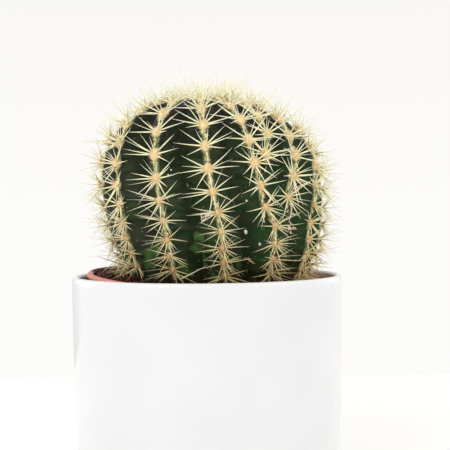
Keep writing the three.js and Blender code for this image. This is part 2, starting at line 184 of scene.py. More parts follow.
def mesh_object(name: str, points: list[Vector], faces: Faces) -> Thing:
    """Makes an object at the origin from points in millimetres.

    Args:
        name: The object's name.
        points: Its points.
        faces: Its faces, as point numbers that run anticlockwise seen from outside.

    Returns:
        The new object, in the scene.
    """
    mesh = bpy.data.meshes.new(name)
    mesh.from_pydata([Vector(p) * MM for p in points], [], faces)
    mesh.update()
    thing = bpy.data.objects.new(name, mesh)
    bpy.context.scene.collection.objects.link(thing)
    return thing


def store(thing: Thing, **columns: list) -> None:
    """Stores numbers or vectors for each point of an object's mesh.

    Args:
        thing: The object.
        columns: One number or vector for each point, by the attribute's name.
    """
    for name, values in columns.items():
        if isinstance(values[0], float):
            attribute = thing.data.attributes.new(name, "FLOAT", "POINT")
            attribute.data.foreach_set("value", values)
        else:
            attribute = thing.data.attributes.new(name, "FLOAT_VECTOR", "POINT")
            attribute.data.foreach_set("vector", [c for v in values for c in v])


def skin_faces(rings: int, sides: int) -> Faces:
    """Lists the faces that join a first point, a stack of rings and a last point.

    Args:
        rings: Number of rings, from the bottom up or from the inside out.
        sides: Points in each ring, anticlockwise seen from above.

    Returns:
        Faces as point numbers, facing out of the stack.
    """
    faces: Faces = []
    last = 1 + rings * sides
    for i in range(sides):
        j = (i + 1) % sides
        faces.append((0, 1 + j, 1 + i))
        for ring in range(rings - 1):
            low, high = 1 + ring * sides, 1 + (ring + 1) * sides
            faces.append((low + i, low + j, high + j, high + i))
        top = 1 + (rings - 1) * sides
        faces.append((last, top + i, top + j))
    return faces


def revolved(profile: Knots, sides: int) -> tuple[list[Vector], Faces]:
    """Turns a profile round the Z axis into a closed skin.

    Args:
        profile: Radius and height, from the axis at the bottom, outwards, and back to the axis.
        sides: Number of faces round the axis.

    Returns:
        Points and faces.
    """
    turns = [outwards(FULL_TURN * i / sides) for i in range(sides)]
    rings = [turn * radius + Vector((0, 0, z)) for radius, z in profile[1:-1] for turn in turns]
    ends = [Vector((0, 0, profile[0][1])), Vector((0, 0, profile[-1][1]))]
    return [ends[0], *rings, ends[1]], skin_faces(len(profile) - 2, sides)


def baked(thing: Thing) -> None:
    """Runs an object's modifiers and keeps the result as its plain mesh.

    Args:
        thing: The object.
    """
    graph = bpy.context.evaluated_depsgraph_get()
    mesh = bpy.data.meshes.new_from_object(thing.evaluated_get(graph))
    thing.modifiers.clear()
    start, thing.data = thing.data, mesh
    bpy.data.meshes.remove(start)
    mesh.name = thing.name


def settle(thing: Thing, matrix: Matrix, replaced: str = "") -> Thing:
    """Args:
        thing: The finished piece.
        matrix: The turn and move, in millimetres, that its mesh still needs.
        replaced: Name of the CAD node that it stands for, if any.

    Returns:
        The same piece.
    """
    placed = matrix.copy()
    placed.translation = matrix.translation * MM
    thing.data.transform(placed)
    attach(thing, BODY)
    if replaced:
        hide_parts(replaced)
    triangles = sum(len(face.vertices) - 2 for face in thing.data.polygons)
    LOG.info("%s: %d triangles", thing.name, triangles)
    return thing


# ------------------------------------------------------------------ finishes


@dataclass(frozen=True)
class Tint:
    """A colour laid over another: it begins to show where a value is low and covers at high."""

    colour: str
    low: float = 0.0
    high: float = 1.0


def tinted(tree: Tree, under: object, value: object, tint: Tint, over: Node | None = None) -> Node:
    """Lays a tint over a colour.

    Args:
        tree: A material's tree.
        under: The colour below, as hex digits or a node.
        value: The node or socket that decides where the tint lies.
        tint: The tint.
        over: A node whose colour is laid in place of the tint's own, if any.

    Returns:
        The mixed colour.
    """
    below = linear(under) if isinstance(under, str) else under
    share = add_node(tree, "ShaderNodeMapRange", value, tint.low, tint.high)
    above = over or linear(tint.colour)
    return add_node(tree, "ShaderNodeMix", share, below, above, data_type="RGBA")


@dataclass(frozen=True)
class Finish:
    """One real material. A subclass says what its surface shows."""

    name: str

    def surface(self, tree: Tree, place: Socket) -> dict[str, object]:
        """Adds the nodes of the surface.

        Args:
            tree: The material's tree.
            place: Object coordinates, in metres.

        Returns:
            The shader's inputs, by name with _ for a space.
        """
        raise NotImplementedError

    def material(self) -> bpy.types.Material:
        """Builds the material."""
        material = bpy.data.materials.new(self.name)
        material.use_nodes = True
        tree = material.node_tree
        tree.nodes.clear()
        place = add_node(tree, "ShaderNodeTexCoord").outputs["Object"]
        shader = add_node(tree, "ShaderNodeBsdfPrincipled", **self.surface(tree, place))
        add_node(tree, "ShaderNodeOutputMaterial", shader)
        return material


@dataclass(frozen=True)
class GlazedCeramic(Finish):
    """White stoneware under a clear, fired glaze: glossy, with a slow ripple and a small pit.

    Inside, a matt, brownish painted shade lies on the wall, thin at the rim and full a little
    below.
    """

    name: str = "glazed_white_stoneware"
    body: str = "#e5e5e8"
    pooled: Tint = Tint("#e1e2e5", 0.3, 0.7)
    pit: Tint = Tint("#c4bcba", 1.1 * MM, 0.0)
    inner_shade: Tint = Tint("#ccb5a3")
    pit_at_mm: tuple[float, float, float] = (60.4, -35.3, 116.1)
    ripple_mm: float = 34.0
    ripple_height_mm: float = 0.25
    inside_mm: float = 66.6
    inside_edge_mm: float = 0.3
    inner_shade_from_mm: float = 119.9
    inner_shade_full_mm: float = 117.8
    inner_shade_ends_mm: float = 95.0
    clean_roughness: float = 0.09
    inner_shade_roughness: float = 0.7

    def surface(self, tree: Tree, place: Socket) -> dict[str, object]:
        """Adds the glaze's slow ripple, its pit and the brownish painted shade inside.

        Args:
            tree: The material's tree.
            place: Object coordinates, in metres.

        Returns:
            The shader's inputs.
        """
        slow = add_node(tree, "ShaderNodeTexNoise", place, per_metre(self.ripple_mm), 1.0)
        pit_at = tuple(c * MM for c in self.pit_at_mm)
        away = add_node(tree, "ShaderNodeVectorMath", place, pit_at, operation="DISTANCE")
        level = add_node(tree, "ShaderNodeVectorMath", place, (1, 1, 0), operation="MULTIPLY")
        reach = add_node(tree, "ShaderNodeVectorMath", level, operation="LENGTH")
        height = add_node(tree, "ShaderNodeSeparateXYZ", place).outputs["Z"]
        tone = tinted(tree, self.body, slow, self.pooled)
        tone = tinted(tree, tone, away, self.pit)
        # Painted shade: below the rim the inner wall turns brownish and matt, full a little lower
        # down and fading out further down.
        inner, outer = self.inside_mm * MM, (self.inside_mm + self.inside_edge_mm) * MM
        within = add_node(tree, "ShaderNodeMapRange", reach, outer, inner)
        full = self.inner_shade_full_mm * MM
        down = add_node(tree, "ShaderNodeMapRange", height, self.inner_shade_from_mm * MM, full)
        up = add_node(tree, "ShaderNodeMapRange", height, self.inner_shade_ends_mm * MM, full)
        overlay_share = add_node(tree, "ShaderNodeMath", down, up, operation="MINIMUM")
        overlay_share = add_node(tree, "ShaderNodeMath", overlay_share, within, operation="MULTIPLY")
        tone = tinted(tree, tone, overlay_share, self.inner_shade)
        matt = (0.0, 1.0, self.clean_roughness, self.inner_shade_roughness)
        gloss = add_node(tree, "ShaderNodeMapRange", overlay_share, *matt)
        rise = self.ripple_height_mm * MM
        relief = add_node(tree, "ShaderNodeBump", Height=slow, Distance=rise, Strength=0.5)
        return {
            "Base_Color": tone,
            "Roughness": gloss,
            "Coat_Weight": 0.2,
            "Coat_Roughness": 0.04,
            "Normal": relief,
        }


@dataclass(frozen=True)
class MouldedPolypropylene(Finish):
    """Terracotta-coloured polypropylene: an even satin, chalky where scuffed, darker at the back
    left.
    """

    name: str = "terracotta_polypropylene"
    colour: str = "#cb7a62"
    chalky: Tint = Tint("#dba08f", 0.5, 0.75)
    dark_patch: Tint = Tint("#54261b")
    scuff_mm: float = 7.0
    dark_patch_at_mm: tuple[float, float, float] = (-55.0, 24.0, 118.0)
    dark_patch_reach_mm: float = 42.0
    dark_patch_fade_mm: float = 6.0
    dark_patch_noise_mm: float = 5.0
    dark_patch_raggedness_mm: float = 20.0
    grain_mm: float = 0.7
    grain_height_mm: float = 0.04
    clean_roughness: float = 0.42
    dark_patch_roughness: float = 0.8

    def surface(self, tree: Tree, place: Socket) -> dict[str, object]:
        """Adds the scuffs, the darker patch at the back left and the mould's grain.

        Args:
            tree: The material's tree.
            place: Object coordinates, in metres.

        Returns:
            The shader's inputs.
        """
        scuffs = add_node(tree, "ShaderNodeTexNoise", place, per_metre(self.scuff_mm), 5.0)
        tone = tinted(tree, self.colour, scuffs, self.chalky)
        # The pot is darker and matt in a ragged patch round a point at the back left of its lip.
        centre = tuple(c * MM for c in self.dark_patch_at_mm)
        away = add_node(tree, "ShaderNodeVectorMath", place, centre, operation="DISTANCE")
        patches = add_node(tree, "ShaderNodeTexNoise", place, per_metre(self.dark_patch_noise_mm), 6.0)
        ragged = self.dark_patch_raggedness_mm * MM
        edge = add_node(tree, "ShaderNodeMath", patches, ragged, away, operation="MULTIPLY_ADD")
        reach, fade = self.dark_patch_reach_mm * MM, self.dark_patch_fade_mm * MM
        darkened = add_node(tree, "ShaderNodeMapRange", edge, reach, reach - fade)
        tone = tinted(tree, tone, darkened, self.dark_patch)
        matt = (0.0, 1.0, self.clean_roughness, self.dark_patch_roughness)
        gloss = add_node(tree, "ShaderNodeMapRange", darkened, *matt)
        # The mould's real grain is finer, and is drawn as coarse as it needs to show.
        grain = add_node(tree, "ShaderNodeTexNoise", place, per_metre(self.grain_mm), 2.0)
        rise = self.grain_height_mm * MM
        relief = add_node(tree, "ShaderNodeBump", Height=grain, Distance=rise, Strength=0.4)
        return {"Base_Color": tone, "Roughness": gloss, "IOR": 1.49, "Normal": relief}


@dataclass(frozen=True)
class MoistPeat(Finish):
    """Potting soil of peat and bark: matt, dark red-brown, with paler chips.

    It reads tone, 0 on the soil itself and up to 1 on the palest chip.
    """

    name: str = "moist_peat"
    hollow: str = "#1d0e0a"
    peat: Tint = Tint("#3a1d15", 0.35, 0.5)
    dry_crumb: Tint = Tint("#6b4033", 0.5, 0.68)
    damp: Tint = Tint("#241109", 0.42, 0.7)
    bark: Tint = Tint("#6a3226", 0.1, 0.7)
    pale_chip: Tint = Tint("#c49a8c", 0.9, 1.0)
    grain_mm: float = 2.0
    grain_height_mm: float = 1.2
    damp_mm: float = 11.0

    def surface(self, tree: Tree, place: Socket) -> dict[str, object]:
        """Adds grains with painted shade between them, the damp patches and the chips' paler tones.

        Args:
            tree: The material's tree.
            place: Object coordinates, in metres.

        Returns:
            The shader's inputs.
        """
        grains = add_node(tree, "ShaderNodeTexNoise", place, per_metre(self.grain_mm), 6.0)
        # The darkest tone stays where the grains sit lowest: painted shade in the hollows between
        # them.
        tone = tinted(tree, self.hollow, grains, self.peat)
        tone = tinted(tree, tone, grains, self.dry_crumb)
        patches = add_node(tree, "ShaderNodeTexNoise", place, per_metre(self.damp_mm), 2.0)
        tone = tinted(tree, tone, patches, self.damp)
        chips = add_node(tree, "ShaderNodeAttribute", attribute_name="tone").outputs["Fac"]
        tone = tinted(tree, tone, chips, self.bark)
        tone = tinted(tree, tone, chips, self.pale_chip)
        rise = self.grain_height_mm * MM
        relief = add_node(tree, "ShaderNodeBump", Height=grains, Distance=rise)
        return {
            "Base_Color": tone,
            "Roughness": 0.88,
            "Specular_IOR_Level": 0.25,
            "Normal": relief,
        }


@dataclass(frozen=True)
class CactusSkin(Finish):
    """Waxy green skin: painted shade darkens its valleys and top; pale along the crests, corky near
    the soil.

    It reads three attributes of the stem's mesh: depth, 0 on a crest and 1 at the bottom of a
    full valley; ridge, 1 on a crest's line and 0 a little beside it; and height, 0 at the soil
    and 1 at the top. What is given per metre grows that much for each metre to the right.
    """

    name: str = "waxy_cactus_skin"
    flank: str = "#202d19"
    creased: Tint = Tint("#39442c", 0.42, 0.62)
    bright: Tint = Tint("#1d421e", 0.45, 0.68)
    bloom: Tint = Tint("#3b3d35", 0.5, 0.74)
    valley: Tint = Tint("#1e2815", 0.3, 0.95)
    shaded: Tint = Tint("#090c05", 0.5, 1.0)
    young: Tint = Tint("#4b6f3a", 0.58, 0.74)
    crest_skin: Tint = Tint("#2f4a22", 0.05, 0.6)
    crest_thread: Tint = Tint("#bac38d", 0.4, 0.56)
    cork: Tint = Tint("#4a3826", 0.3, 0.6)
    dust: Tint = Tint("#a59c90", 0.7, 0.76)
    mottle_mm: float = 7.0
    patch_mm: float = 8.0
    bloom_mm: float = 17.0
    crease_mm: float = 3.0
    crease_squeeze: tuple[float, float, float] = (0.3, 0.3, 1.0)
    thread_mm: float = 0.9
    thread_squeeze: tuple[float, float, float] = (1.0, 1.0, 0.2)
    dust_mm: float = 1.2
    pores_mm: float = 0.9
    relief_mm: float = 0.25
    bright_per_metre: float = 2.4
    bright_per_height: float = -0.12
    sheen_per_metre: float = -2.0
    young_per_metre: float = -2.5
    young_below: tuple[float, float] = (0.25, 0.4)
    cork_below: float = 0.2
    foot_dust: float = 0.07

    def surface(self, tree: Tree, place: Socket) -> dict[str, object]:
        """Adds creases, bloom and painted sheen, painted shade, rubbed patches, crest threads, cork
        and dust.

        Args:
            tree: The material's tree.
            place: Object coordinates, in metres.

        Returns:
            The shader's inputs.
        """
        depth, ridge, height = (
            add_node(tree, "ShaderNodeAttribute", attribute_name=name).outputs["Fac"]
            for name in ("depth", "ridge", "height")
        )
        mottle = add_node(tree, "ShaderNodeTexNoise", place, per_metre(self.mottle_mm), 5.0)
        waxy = add_node(tree, "ShaderNodeTexNoise", place, per_metre(self.bloom_mm), 4.0)
        # The skin creases across the ribs, and threads run along their crests.
        across = add_node(tree, "ShaderNodeMapping", place, Scale=self.crease_squeeze)
        creases = add_node(tree, "ShaderNodeTexNoise", across, per_metre(self.crease_mm), 3.0)
        along = add_node(tree, "ShaderNodeMapping", place, Scale=self.thread_squeeze)
        threads = add_node(tree, "ShaderNodeTexNoise", along, per_metre(self.thread_mm), 2.0)
        # The grey bloom is laid thicker to the left, as a painted sheen on that side, and the green
        # stronger to the right.
        side = add_node(tree, "ShaderNodeSeparateXYZ", place).outputs["X"]
        graded = {"operation": "MULTIPLY_ADD"}
        fresh = add_node(tree, "ShaderNodeMath", side, self.bright_per_metre, mottle, **graded)
        fresh = add_node(tree, "ShaderNodeMath", height, self.bright_per_height, fresh, **graded)
        bloom_and_sheen = add_node(tree, "ShaderNodeMath", side, self.sheen_per_metre, waxy, **graded)
        tone = tinted(tree, self.flank, creases, self.creased)
        tone = tinted(tree, tone, fresh, self.bright)
        tone = tinted(tree, tone, bloom_and_sheen, self.bloom)
        # Painted shade: the valleys darken with their depth, and the upper half darkens towards the
        # top.
        tone = tinted(tree, tone, depth, self.valley)
        tone = tinted(tree, tone, height, self.shaded)
        # Here and there low on the stem the bloom is rubbed off down to the young green.
        patches = add_node(tree, "ShaderNodeTexNoise", place, per_metre(self.patch_mm), 1.0)
        low = add_node(tree, "ShaderNodeMapRange", height, *self.young_below, 1.0, 0.0)
        rubbed = add_node(tree, "ShaderNodeMath", low, patches, operation="MULTIPLY")
        rubbed = add_node(tree, "ShaderNodeMath", side, self.young_per_metre, rubbed, **graded)
        tone = tinted(tree, tone, rubbed, self.young)
        crest = tinted(tree, self.crest_skin.colour, threads, self.crest_thread)
        tone = tinted(tree, tone, ridge, self.crest_skin, crest)
        age = add_node(tree, "ShaderNodeMapRange", height, 0.0, self.cork_below, 1.0, 0.0)
        corky = add_node(tree, "ShaderNodeMath", age, mottle, operation="MULTIPLY")
        tone = tinted(tree, tone, corky, self.cork)
        specks = add_node(tree, "ShaderNodeTexNoise", place, per_metre(self.dust_mm), 2.0)
        overlay_share = add_node(tree, "ShaderNodeMath", age, self.foot_dust, specks, **graded)
        tone = tinted(tree, tone, overlay_share, self.dust)
        # The real pores are finer, and are drawn as coarse as they need to show.
        pores = add_node(tree, "ShaderNodeTexNoise", place, per_metre(self.pores_mm), 3.0)
        rough = add_node(tree, "ShaderNodeMath", pores, creases, operation="ADD")
        rise = self.relief_mm * MM
        relief = add_node(tree, "ShaderNodeBump", Height=rough, Distance=rise, Strength=0.7)
        return {
            "Base_Color": tone,
            "Roughness": 0.42,
            "Specular_IOR_Level": 0.07,
            "Normal": relief,
        }


@dataclass(frozen=True)
class AreoleFelt(Finish):
    """Woolly felt of the areoles: cream on young ones, tan with age, peach at their middles.

    It reads two attributes: age, 0 at the crown and 1 at the soil; and core, 1 at the middle
    of a pad and 0 or less at its edge.
    """

    name: str = "areole_felt"
    newest: str = "#fae7af"
    fresh: Tint = Tint("#f9e2ae", 0.0, 0.35)
    aged: Tint = Tint("#f5daa8", 0.35, 1.0)
    heart: Tint = Tint("#efbf83", 0.12, 0.5)
    newest_heart: float = 0.35
    full_heart_age: float = 0.8
    tuft_mm: float = 1.3

    def surface(self, tree: Tree, place: Socket) -> dict[str, object]:
        """Adds the felt's ageing and the warmer heart of each pad.

        Args:
            tree: The material's tree.
            place: Object coordinates, in metres.

        Returns:
            The shader's inputs.
        """
        age, core = (
            add_node(tree, "ShaderNodeAttribute", attribute_name=name).outputs["Fac"]
            for name in ("age", "core")
        )
        tone = tinted(tree, self.newest, age, self.fresh)
        tone = tinted(tree, tone, age, self.aged)
        tufts = add_node(tree, "ShaderNodeTexNoise", place, per_metre(self.tuft_mm), 4.0)
        heart = add_node(tree, "ShaderNodeMath", core, tufts, operation="MULTIPLY")
        grows = (0.0, self.full_heart_age, self.newest_heart, 1.0)
        older = add_node(tree, "ShaderNodeMapRange", age, *grows)
        heart = add_node(tree, "ShaderNodeMath", heart, older, operation="MULTIPLY")
        tone = tinted(tree, tone, heart, self.heart)
        return {
            "Base_Color": tone,
            "Roughness": 0.95,
            "Specular_IOR_Level": 0.1,
            "Sheen_Weight": 0.3,
            "Subsurface_Weight": 0.3,
            "Subsurface_Radius": (1.8, 1.4, 0.9),
            "Subsurface_Scale": MM,
        }


@dataclass(frozen=True)
class SpineHorn(Finish):
    """Hard, straw-coloured spines, ivory when young and tan with age, warmer at the root.

    Light passes through such thin horn. It reads age, 0 at the crown, 1 at the soil and 2 on
    a dead spine, and along, 0 at a root and 1 at a tip.
    """

    name: str = "straw_spine"
    newest: str = "#fff8d2"
    fresh: Tint = Tint("#fff4c8", 0.0, 0.5)
    aged: Tint = Tint("#ead08e", 0.55, 1.0)
    root: Tint = Tint("#f2c88e", 0.0, 0.9)
    band: Tint = Tint("#c9b27c", 0.58, 0.85)
    dead: Tint = Tint("#3c2a20", 1.5, 1.9)
    root_share: float = 0.2
    band_mm: float = 1.6

    def surface(self, tree: Tree, place: Socket) -> dict[str, object]:
        """Adds the spines' ageing, their warm roots and their bands.

        Args:
            tree: The material's tree.
            place: Object coordinates, in metres.

        Returns:
            The shader's inputs.
        """
        age, along = (
            add_node(tree, "ShaderNodeAttribute", attribute_name=name).outputs["Fac"]
            for name in ("age", "along")
        )
        tone = tinted(tree, self.newest, age, self.fresh)
        tone = tinted(tree, tone, age, self.aged)
        near_root = add_node(tree, "ShaderNodeMapRange", along, 0.0, self.root_share, 1.0, 0.0)
        ripe = add_node(tree, "ShaderNodeMath", near_root, age, operation="MULTIPLY")
        tone = tinted(tree, tone, ripe, self.root)
        bands = add_node(tree, "ShaderNodeTexNoise", place, per_metre(self.band_mm), 2.0)
        tone = tinted(tree, tone, bands, self.band)
        tone = tinted(tree, tone, age, self.dead)
        return {
            "Base_Color": tone,
            "Roughness": 0.42,
            "Subsurface_Weight": 0.6,
            "Subsurface_Radius": (1.0, 0.85, 0.6),
            "Subsurface_Scale": MM,
        }


@dataclass(frozen=True)
class DryScrap(Finish):
    """Dry scraps, such as papery flakes of old flowers and crumbs of perlite: matt and mottled.

    It reads tone, 0 on brown scraps and 1 on white ones.
    """

    name: str = "dry_plant_scrap"
    brown: str = "#8a5440"
    straw: Tint = Tint("#dcbb95", 0.0, 0.5)
    white: Tint = Tint("#f3efe6", 0.5, 1.0)
    mottle: Tint = Tint("#a98468", 0.52, 0.75)
    grain_mm: float = 0.8
    grain_height_mm: float = 0.1

    def surface(self, tree: Tree, place: Socket) -> dict[str, object]:
        """Adds the scraps' own tones and a mottle.

        Args:
            tree: The material's tree.
            place: Object coordinates, in metres.

        Returns:
            The shader's inputs.
        """
        pale = add_node(tree, "ShaderNodeAttribute", attribute_name="tone").outputs["Fac"]
        tone = tinted(tree, self.brown, pale, self.straw)
        tone = tinted(tree, tone, pale, self.white)
        grains = add_node(tree, "ShaderNodeTexNoise", place, per_metre(self.grain_mm), 4.0)
        tone = tinted(tree, tone, grains, self.mottle)
        rise = self.grain_height_mm * MM
        relief = add_node(tree, "ShaderNodeBump", Height=grains, Distance=rise)
        return {
            "Base_Color": tone,
            "Roughness": 0.85,
            "Specular_IOR_Level": 0.2,
            "Normal": relief,
        }


# ------------------------------------------------------------------ rules of geometry nodes


Rule = Callable[[Tree, Inputs], Node]


def grown(thing: Thing, rule: Rule, sizes: dict[str, float], finish: Finish) -> None:
    """Runs a rule of geometry nodes on an object and keeps the result as its plain mesh.

    Args:
        thing: The object whose mesh the rule starts from.
        rule: Adds its nodes to a tree. It gets the tree and its inputs' sockets by name, and
            returns the node that carries the shape.
        sizes: Values for the tree's named inputs.
        finish: What the surface is made of.
    """
    tree = bpy.data.node_groups.new(thing.name, "GeometryNodeTree")
    for way in ("INPUT", "OUTPUT"):
        tree.interface.new_socket("Geometry", in_out=way, socket_type="NodeSocketGeometry")
    for name, value in sizes.items():
        kind = "NodeSocketInt" if isinstance(value, int) else "NodeSocketFloat"
        tree.interface.new_socket(name, in_out="INPUT", socket_type=kind)
    shape = rule(tree, add_node(tree, "NodeGroupInput").outputs)
    shape = add_node(tree, "GeometryNodeRealizeInstances", shape)
    shape = add_node(tree, "GeometryNodeSetShadeSmooth", shape)
    shape = add_node(tree, "GeometryNodeSetMaterial", shape, Material=finish.material())
    add_node(tree, "NodeGroupOutput", shape)
    modifier = thing.modifiers.new(tree.name, "NODES")
    modifier.node_group = tree
    for item in tree.interface.items_tree:
        if item.name in sizes:
            modifier[item.identifier] = sizes[item.name]
    baked(thing)


def unevenness(tree: Tree, size: Socket, height: Socket, detail: float) -> Node:
    """Adds a noise pattern about 0 to a geometry tree.

    Args:
        tree: The geometry tree.
        size: The size of its largest features, in metres.
        height: Its full range, in metres.
        detail: How many finer octaves it has.

    Returns:
        Its value at each point.
    """
    place = add_node(tree, "GeometryNodeInputPosition")
    scale = add_node(tree, "ShaderNodeMath", 1.0, size, operation="DIVIDE")
    pattern = add_node(tree, "ShaderNodeTexNoise", place, scale, detail)
    centred = add_node(tree, "ShaderNodeMath", pattern, 0.5, operation="SUBTRACT")
    return add_node(tree, "ShaderNodeMath", centred, height, operation="MULTIPLY")


def swollen(tree: Tree, shape: object, height: Node) -> Node:
    """Moves a shape's points along their normals.

    Args:
        tree: The geometry tree.
        shape: The shape.
        height: How far each point moves out.

    Returns:
        The moved shape.
    """
    normal = add_node(tree, "GeometryNodeInputNormal")
    offset = add_node(tree, "ShaderNodeVectorMath", normal, Scale=height, operation="SCALE")
    return add_node(tree, "GeometryNodeSetPosition", shape, Offset=offset)


def copies(tree: Tree, points: object, shape: object, turn: object, span: object) -> Node:
    """Puts a real copy of a shape on every point.

    Args:
        tree: The geometry tree.
        points: The points.
        shape: The geometry to copy.
        turn: Each copy's rotation.
        span: Each copy's scale.

    Returns:
        The copies.
    """
    inputs = {"Instance": shape, "Rotation": turn, "Scale": span}
    placed = add_node(tree, "GeometryNodeInstanceOnPoints", points, **inputs)
    return add_node(tree, "GeometryNodeRealizeInstances", placed)


def lumpy_pads(tree: Tree, given: Inputs) -> Node:
    """Adds a lumpy ball on each point, turned and stretched by the attributes turn and span.

    Args:
        tree: The geometry tree.
        given: Its inputs, with Lump and Lump size, in metres.

    Returns:
        The balls, with the attribute core, 1 at the outer side of each.
    """
    ball = add_node(tree, "GeometryNodeMeshUVSphere", Segments=8, Rings=5, Radius=0.5)
    place = add_node(tree, "GeometryNodeInputPosition")
    height = add_node(tree, "ShaderNodeSeparateXYZ", place).outputs["Z"]
    core = add_node(tree, "ShaderNodeMath", height, 2.0, operation="MULTIPLY")
    ball = add_node(tree, "GeometryNodeStoreNamedAttribute", ball, Name="core", Value=core)
    turn, span = (
        add_node(tree, "GeometryNodeInputNamedAttribute", data_type="FLOAT_VECTOR", Name=name)
        for name in ("turn", "span")
    )
    turn = add_node(tree, "FunctionNodeEulerToRotation", turn)
    pads = copies(tree, given["Geometry"], ball, turn, span)
    return swollen(tree, pads, unevenness(tree, given["Lump size"], given["Lump"], 3.0))


# ------------------------------------------------------------------ pots


@dataclass
class OuterPot:
    """The white outer pot: a near-cylinder with a thin round lip and a plain flat foot."""

    height: float = 120.0
    radius: float = 70.0
    foot_draw_in: float = 3.5
    draw_in_power: float = 1.6
    wall: float = 3.6
    floor: float = 5.0
    foot_round: float = 5.0
    sides: int = 224
    steps: int = 26

    def wall_radius(self, height: float) -> float:
        """Gives the wall's outside radius at a height."""
        down = 1 - height / self.height
        return self.radius - self.foot_draw_in * down**self.draw_in_power

    def profile(self) -> Knots:
        """Lists the pot's section, from the middle of its foot round to the middle of its floor."""
        lip = self.wall / 2
        low, high = self.foot_round, self.height - lip
        foot = (self.wall_radius(low) - low, low)
        inside = self.floor + self.foot_round
        floor = (self.wall_radius(inside) - self.wall - self.foot_round, inside)
        rise = [low + (high - low) * i / self.steps for i in range(self.steps + 1)]
        fall = [high + (inside - high) * i / self.steps for i in range(self.steps + 1)]
        half_way = foot[0] / 2
        return [
            (0.0, 0.0),
            (half_way, 0.0),
            *arc(foot, low, -90, -6, 8),
            *[(self.wall_radius(z), z) for z in rise],
            *arc((self.wall_radius(high) - lip, high), lip, 15, 165, 10),
            *[(self.wall_radius(z) - self.wall, z) for z in fall],
            *arc(floor, self.foot_round, -12, -90, 6),
            (half_way, self.floor),
            (0.0, self.floor),
        ]

    def build(self, finish: GlazedCeramic) -> Thing:
        """Builds the pot and dresses it.

        Args:
            finish: The glaze.

        Returns:
            The finished pot.
        """
        pot = mesh_object("white_outer_pot", *revolved(self.profile(), self.sides))
        pot.data.shade_smooth()
        pot.data.materials.append(finish.material())
        return settle(pot, Matrix(), "outer_pot")


@dataclass
class NurseryPot:
    """The plastic nursery pot: a tapered wall, a collar and a thick lip.

    It leans to the right and a little to the front.
    """

    slope_x: float = 0.06
    slope_y: float = -0.035
    rim_centre: Vector = field(default_factory=lambda: Vector((1.8, -1.0, 118.85)))
    height: float = 110.9
    rim_radius: float = 63.8
    lip_width: float = 3.3
    under_lip: float = 1.0
    collar: float = 11.0
    step: float = 1.2
    step_width: float = 1.6
    base_radius: float = 46.0
    base_round: float = 2.0
    wall: float = 1.6
    drain_holes: int = 8
    drain_hole_radius: float = 4.0
    drain_circle_radius: float = 32.0
    drill_length: float = 8.0
    drill_sides: int = 24
    sides: int = 160

    def matrix(self) -> Matrix:
        """Gives the turn and place of the pot's own frame, in millimetres."""
        axis = Vector((self.slope_x, self.slope_y, 1)).normalized()
        turn = Vector((0, 0, 1)).rotation_difference(axis).to_matrix().to_4x4()
        return Matrix.Translation(self.rim_centre - axis * self.height) @ turn

    def wall_radius(self, height: float) -> float:
        """Gives the wall's outside radius.

        Args:
            height: A height above the pot's base.

        Returns:
            The radius there.
        """
        shoulder = self.height - self.collar
        at_collar = self.rim_radius - self.lip_width + self.wall
        if height >= shoulder:
            return at_collar
        widening = at_collar - self.step_width - self.base_radius
        return self.base_radius + widening * height / shoulder

    def profile(self) -> Knots:
        """Lists the pot's section, from the middle of its base round to the middle of its floor."""
        top, lip, base = self.height, self.lip_width / 2, self.base_round
        shoulder = top - self.collar
        turns = [top - self.lip_width - self.under_lip, shoulder, shoulder - self.step]
        radii = [self.wall_radius(z) for z in turns]
        return [
            (0, 0),
            (self.wall_radius(0) - base, 0),
            *arc((self.wall_radius(base) - base, base), base, -80, -4, 5),
            *list(zip(radii, turns))[::-1],
            *arc((self.rim_radius - lip, top - lip), lip, -60, 180, 16),
            *[(radius - self.wall, z) for radius, z in zip(radii, turns)],
            (self.wall_radius(self.wall) - self.wall, self.wall),
            (0, self.wall),
        ]

    def drills(self) -> Thing:
        """Makes the rods that cut the drain holes."""
        cutter = bmesh.new()
        for i in range(self.drain_holes):
            spot = outwards(FULL_TURN * i / self.drain_holes) * self.drain_circle_radius
            bmesh.ops.create_cone(
                cutter,
                cap_ends=True,
                segments=self.drill_sides,
                radius1=self.drain_hole_radius * MM,
                radius2=self.drain_hole_radius * MM,
                depth=self.drill_length * MM,
                matrix=Matrix.Translation(spot * MM),
            )
        rods = mesh_object("drain_holes", [], [])
        cutter.to_mesh(rods.data)
        cutter.free()
        return rods

    def build(self, finish: MouldedPolypropylene) -> Thing:
        """Builds the pot, cuts its drain holes and dresses it.

        Args:
            finish: The plastic.

        Returns:
            The finished pot.
        """
        pot = mesh_object("terracotta_nursery_pot", *revolved(self.profile(), self.sides))
        cut = pot.modifiers.new("drain", "BOOLEAN")
        rods = self.drills()
        cut.operation = "DIFFERENCE"
        cut.object = rods
        baked(pot)
        bpy.data.meshes.remove(rods.data)
        pot.data.shade_smooth()
        pot.data.materials.clear()
        pot.data.materials.append(finish.material())
        return settle(pot, self.matrix(), "nursery_pot")


# ------------------------------------------------------------------ cactus


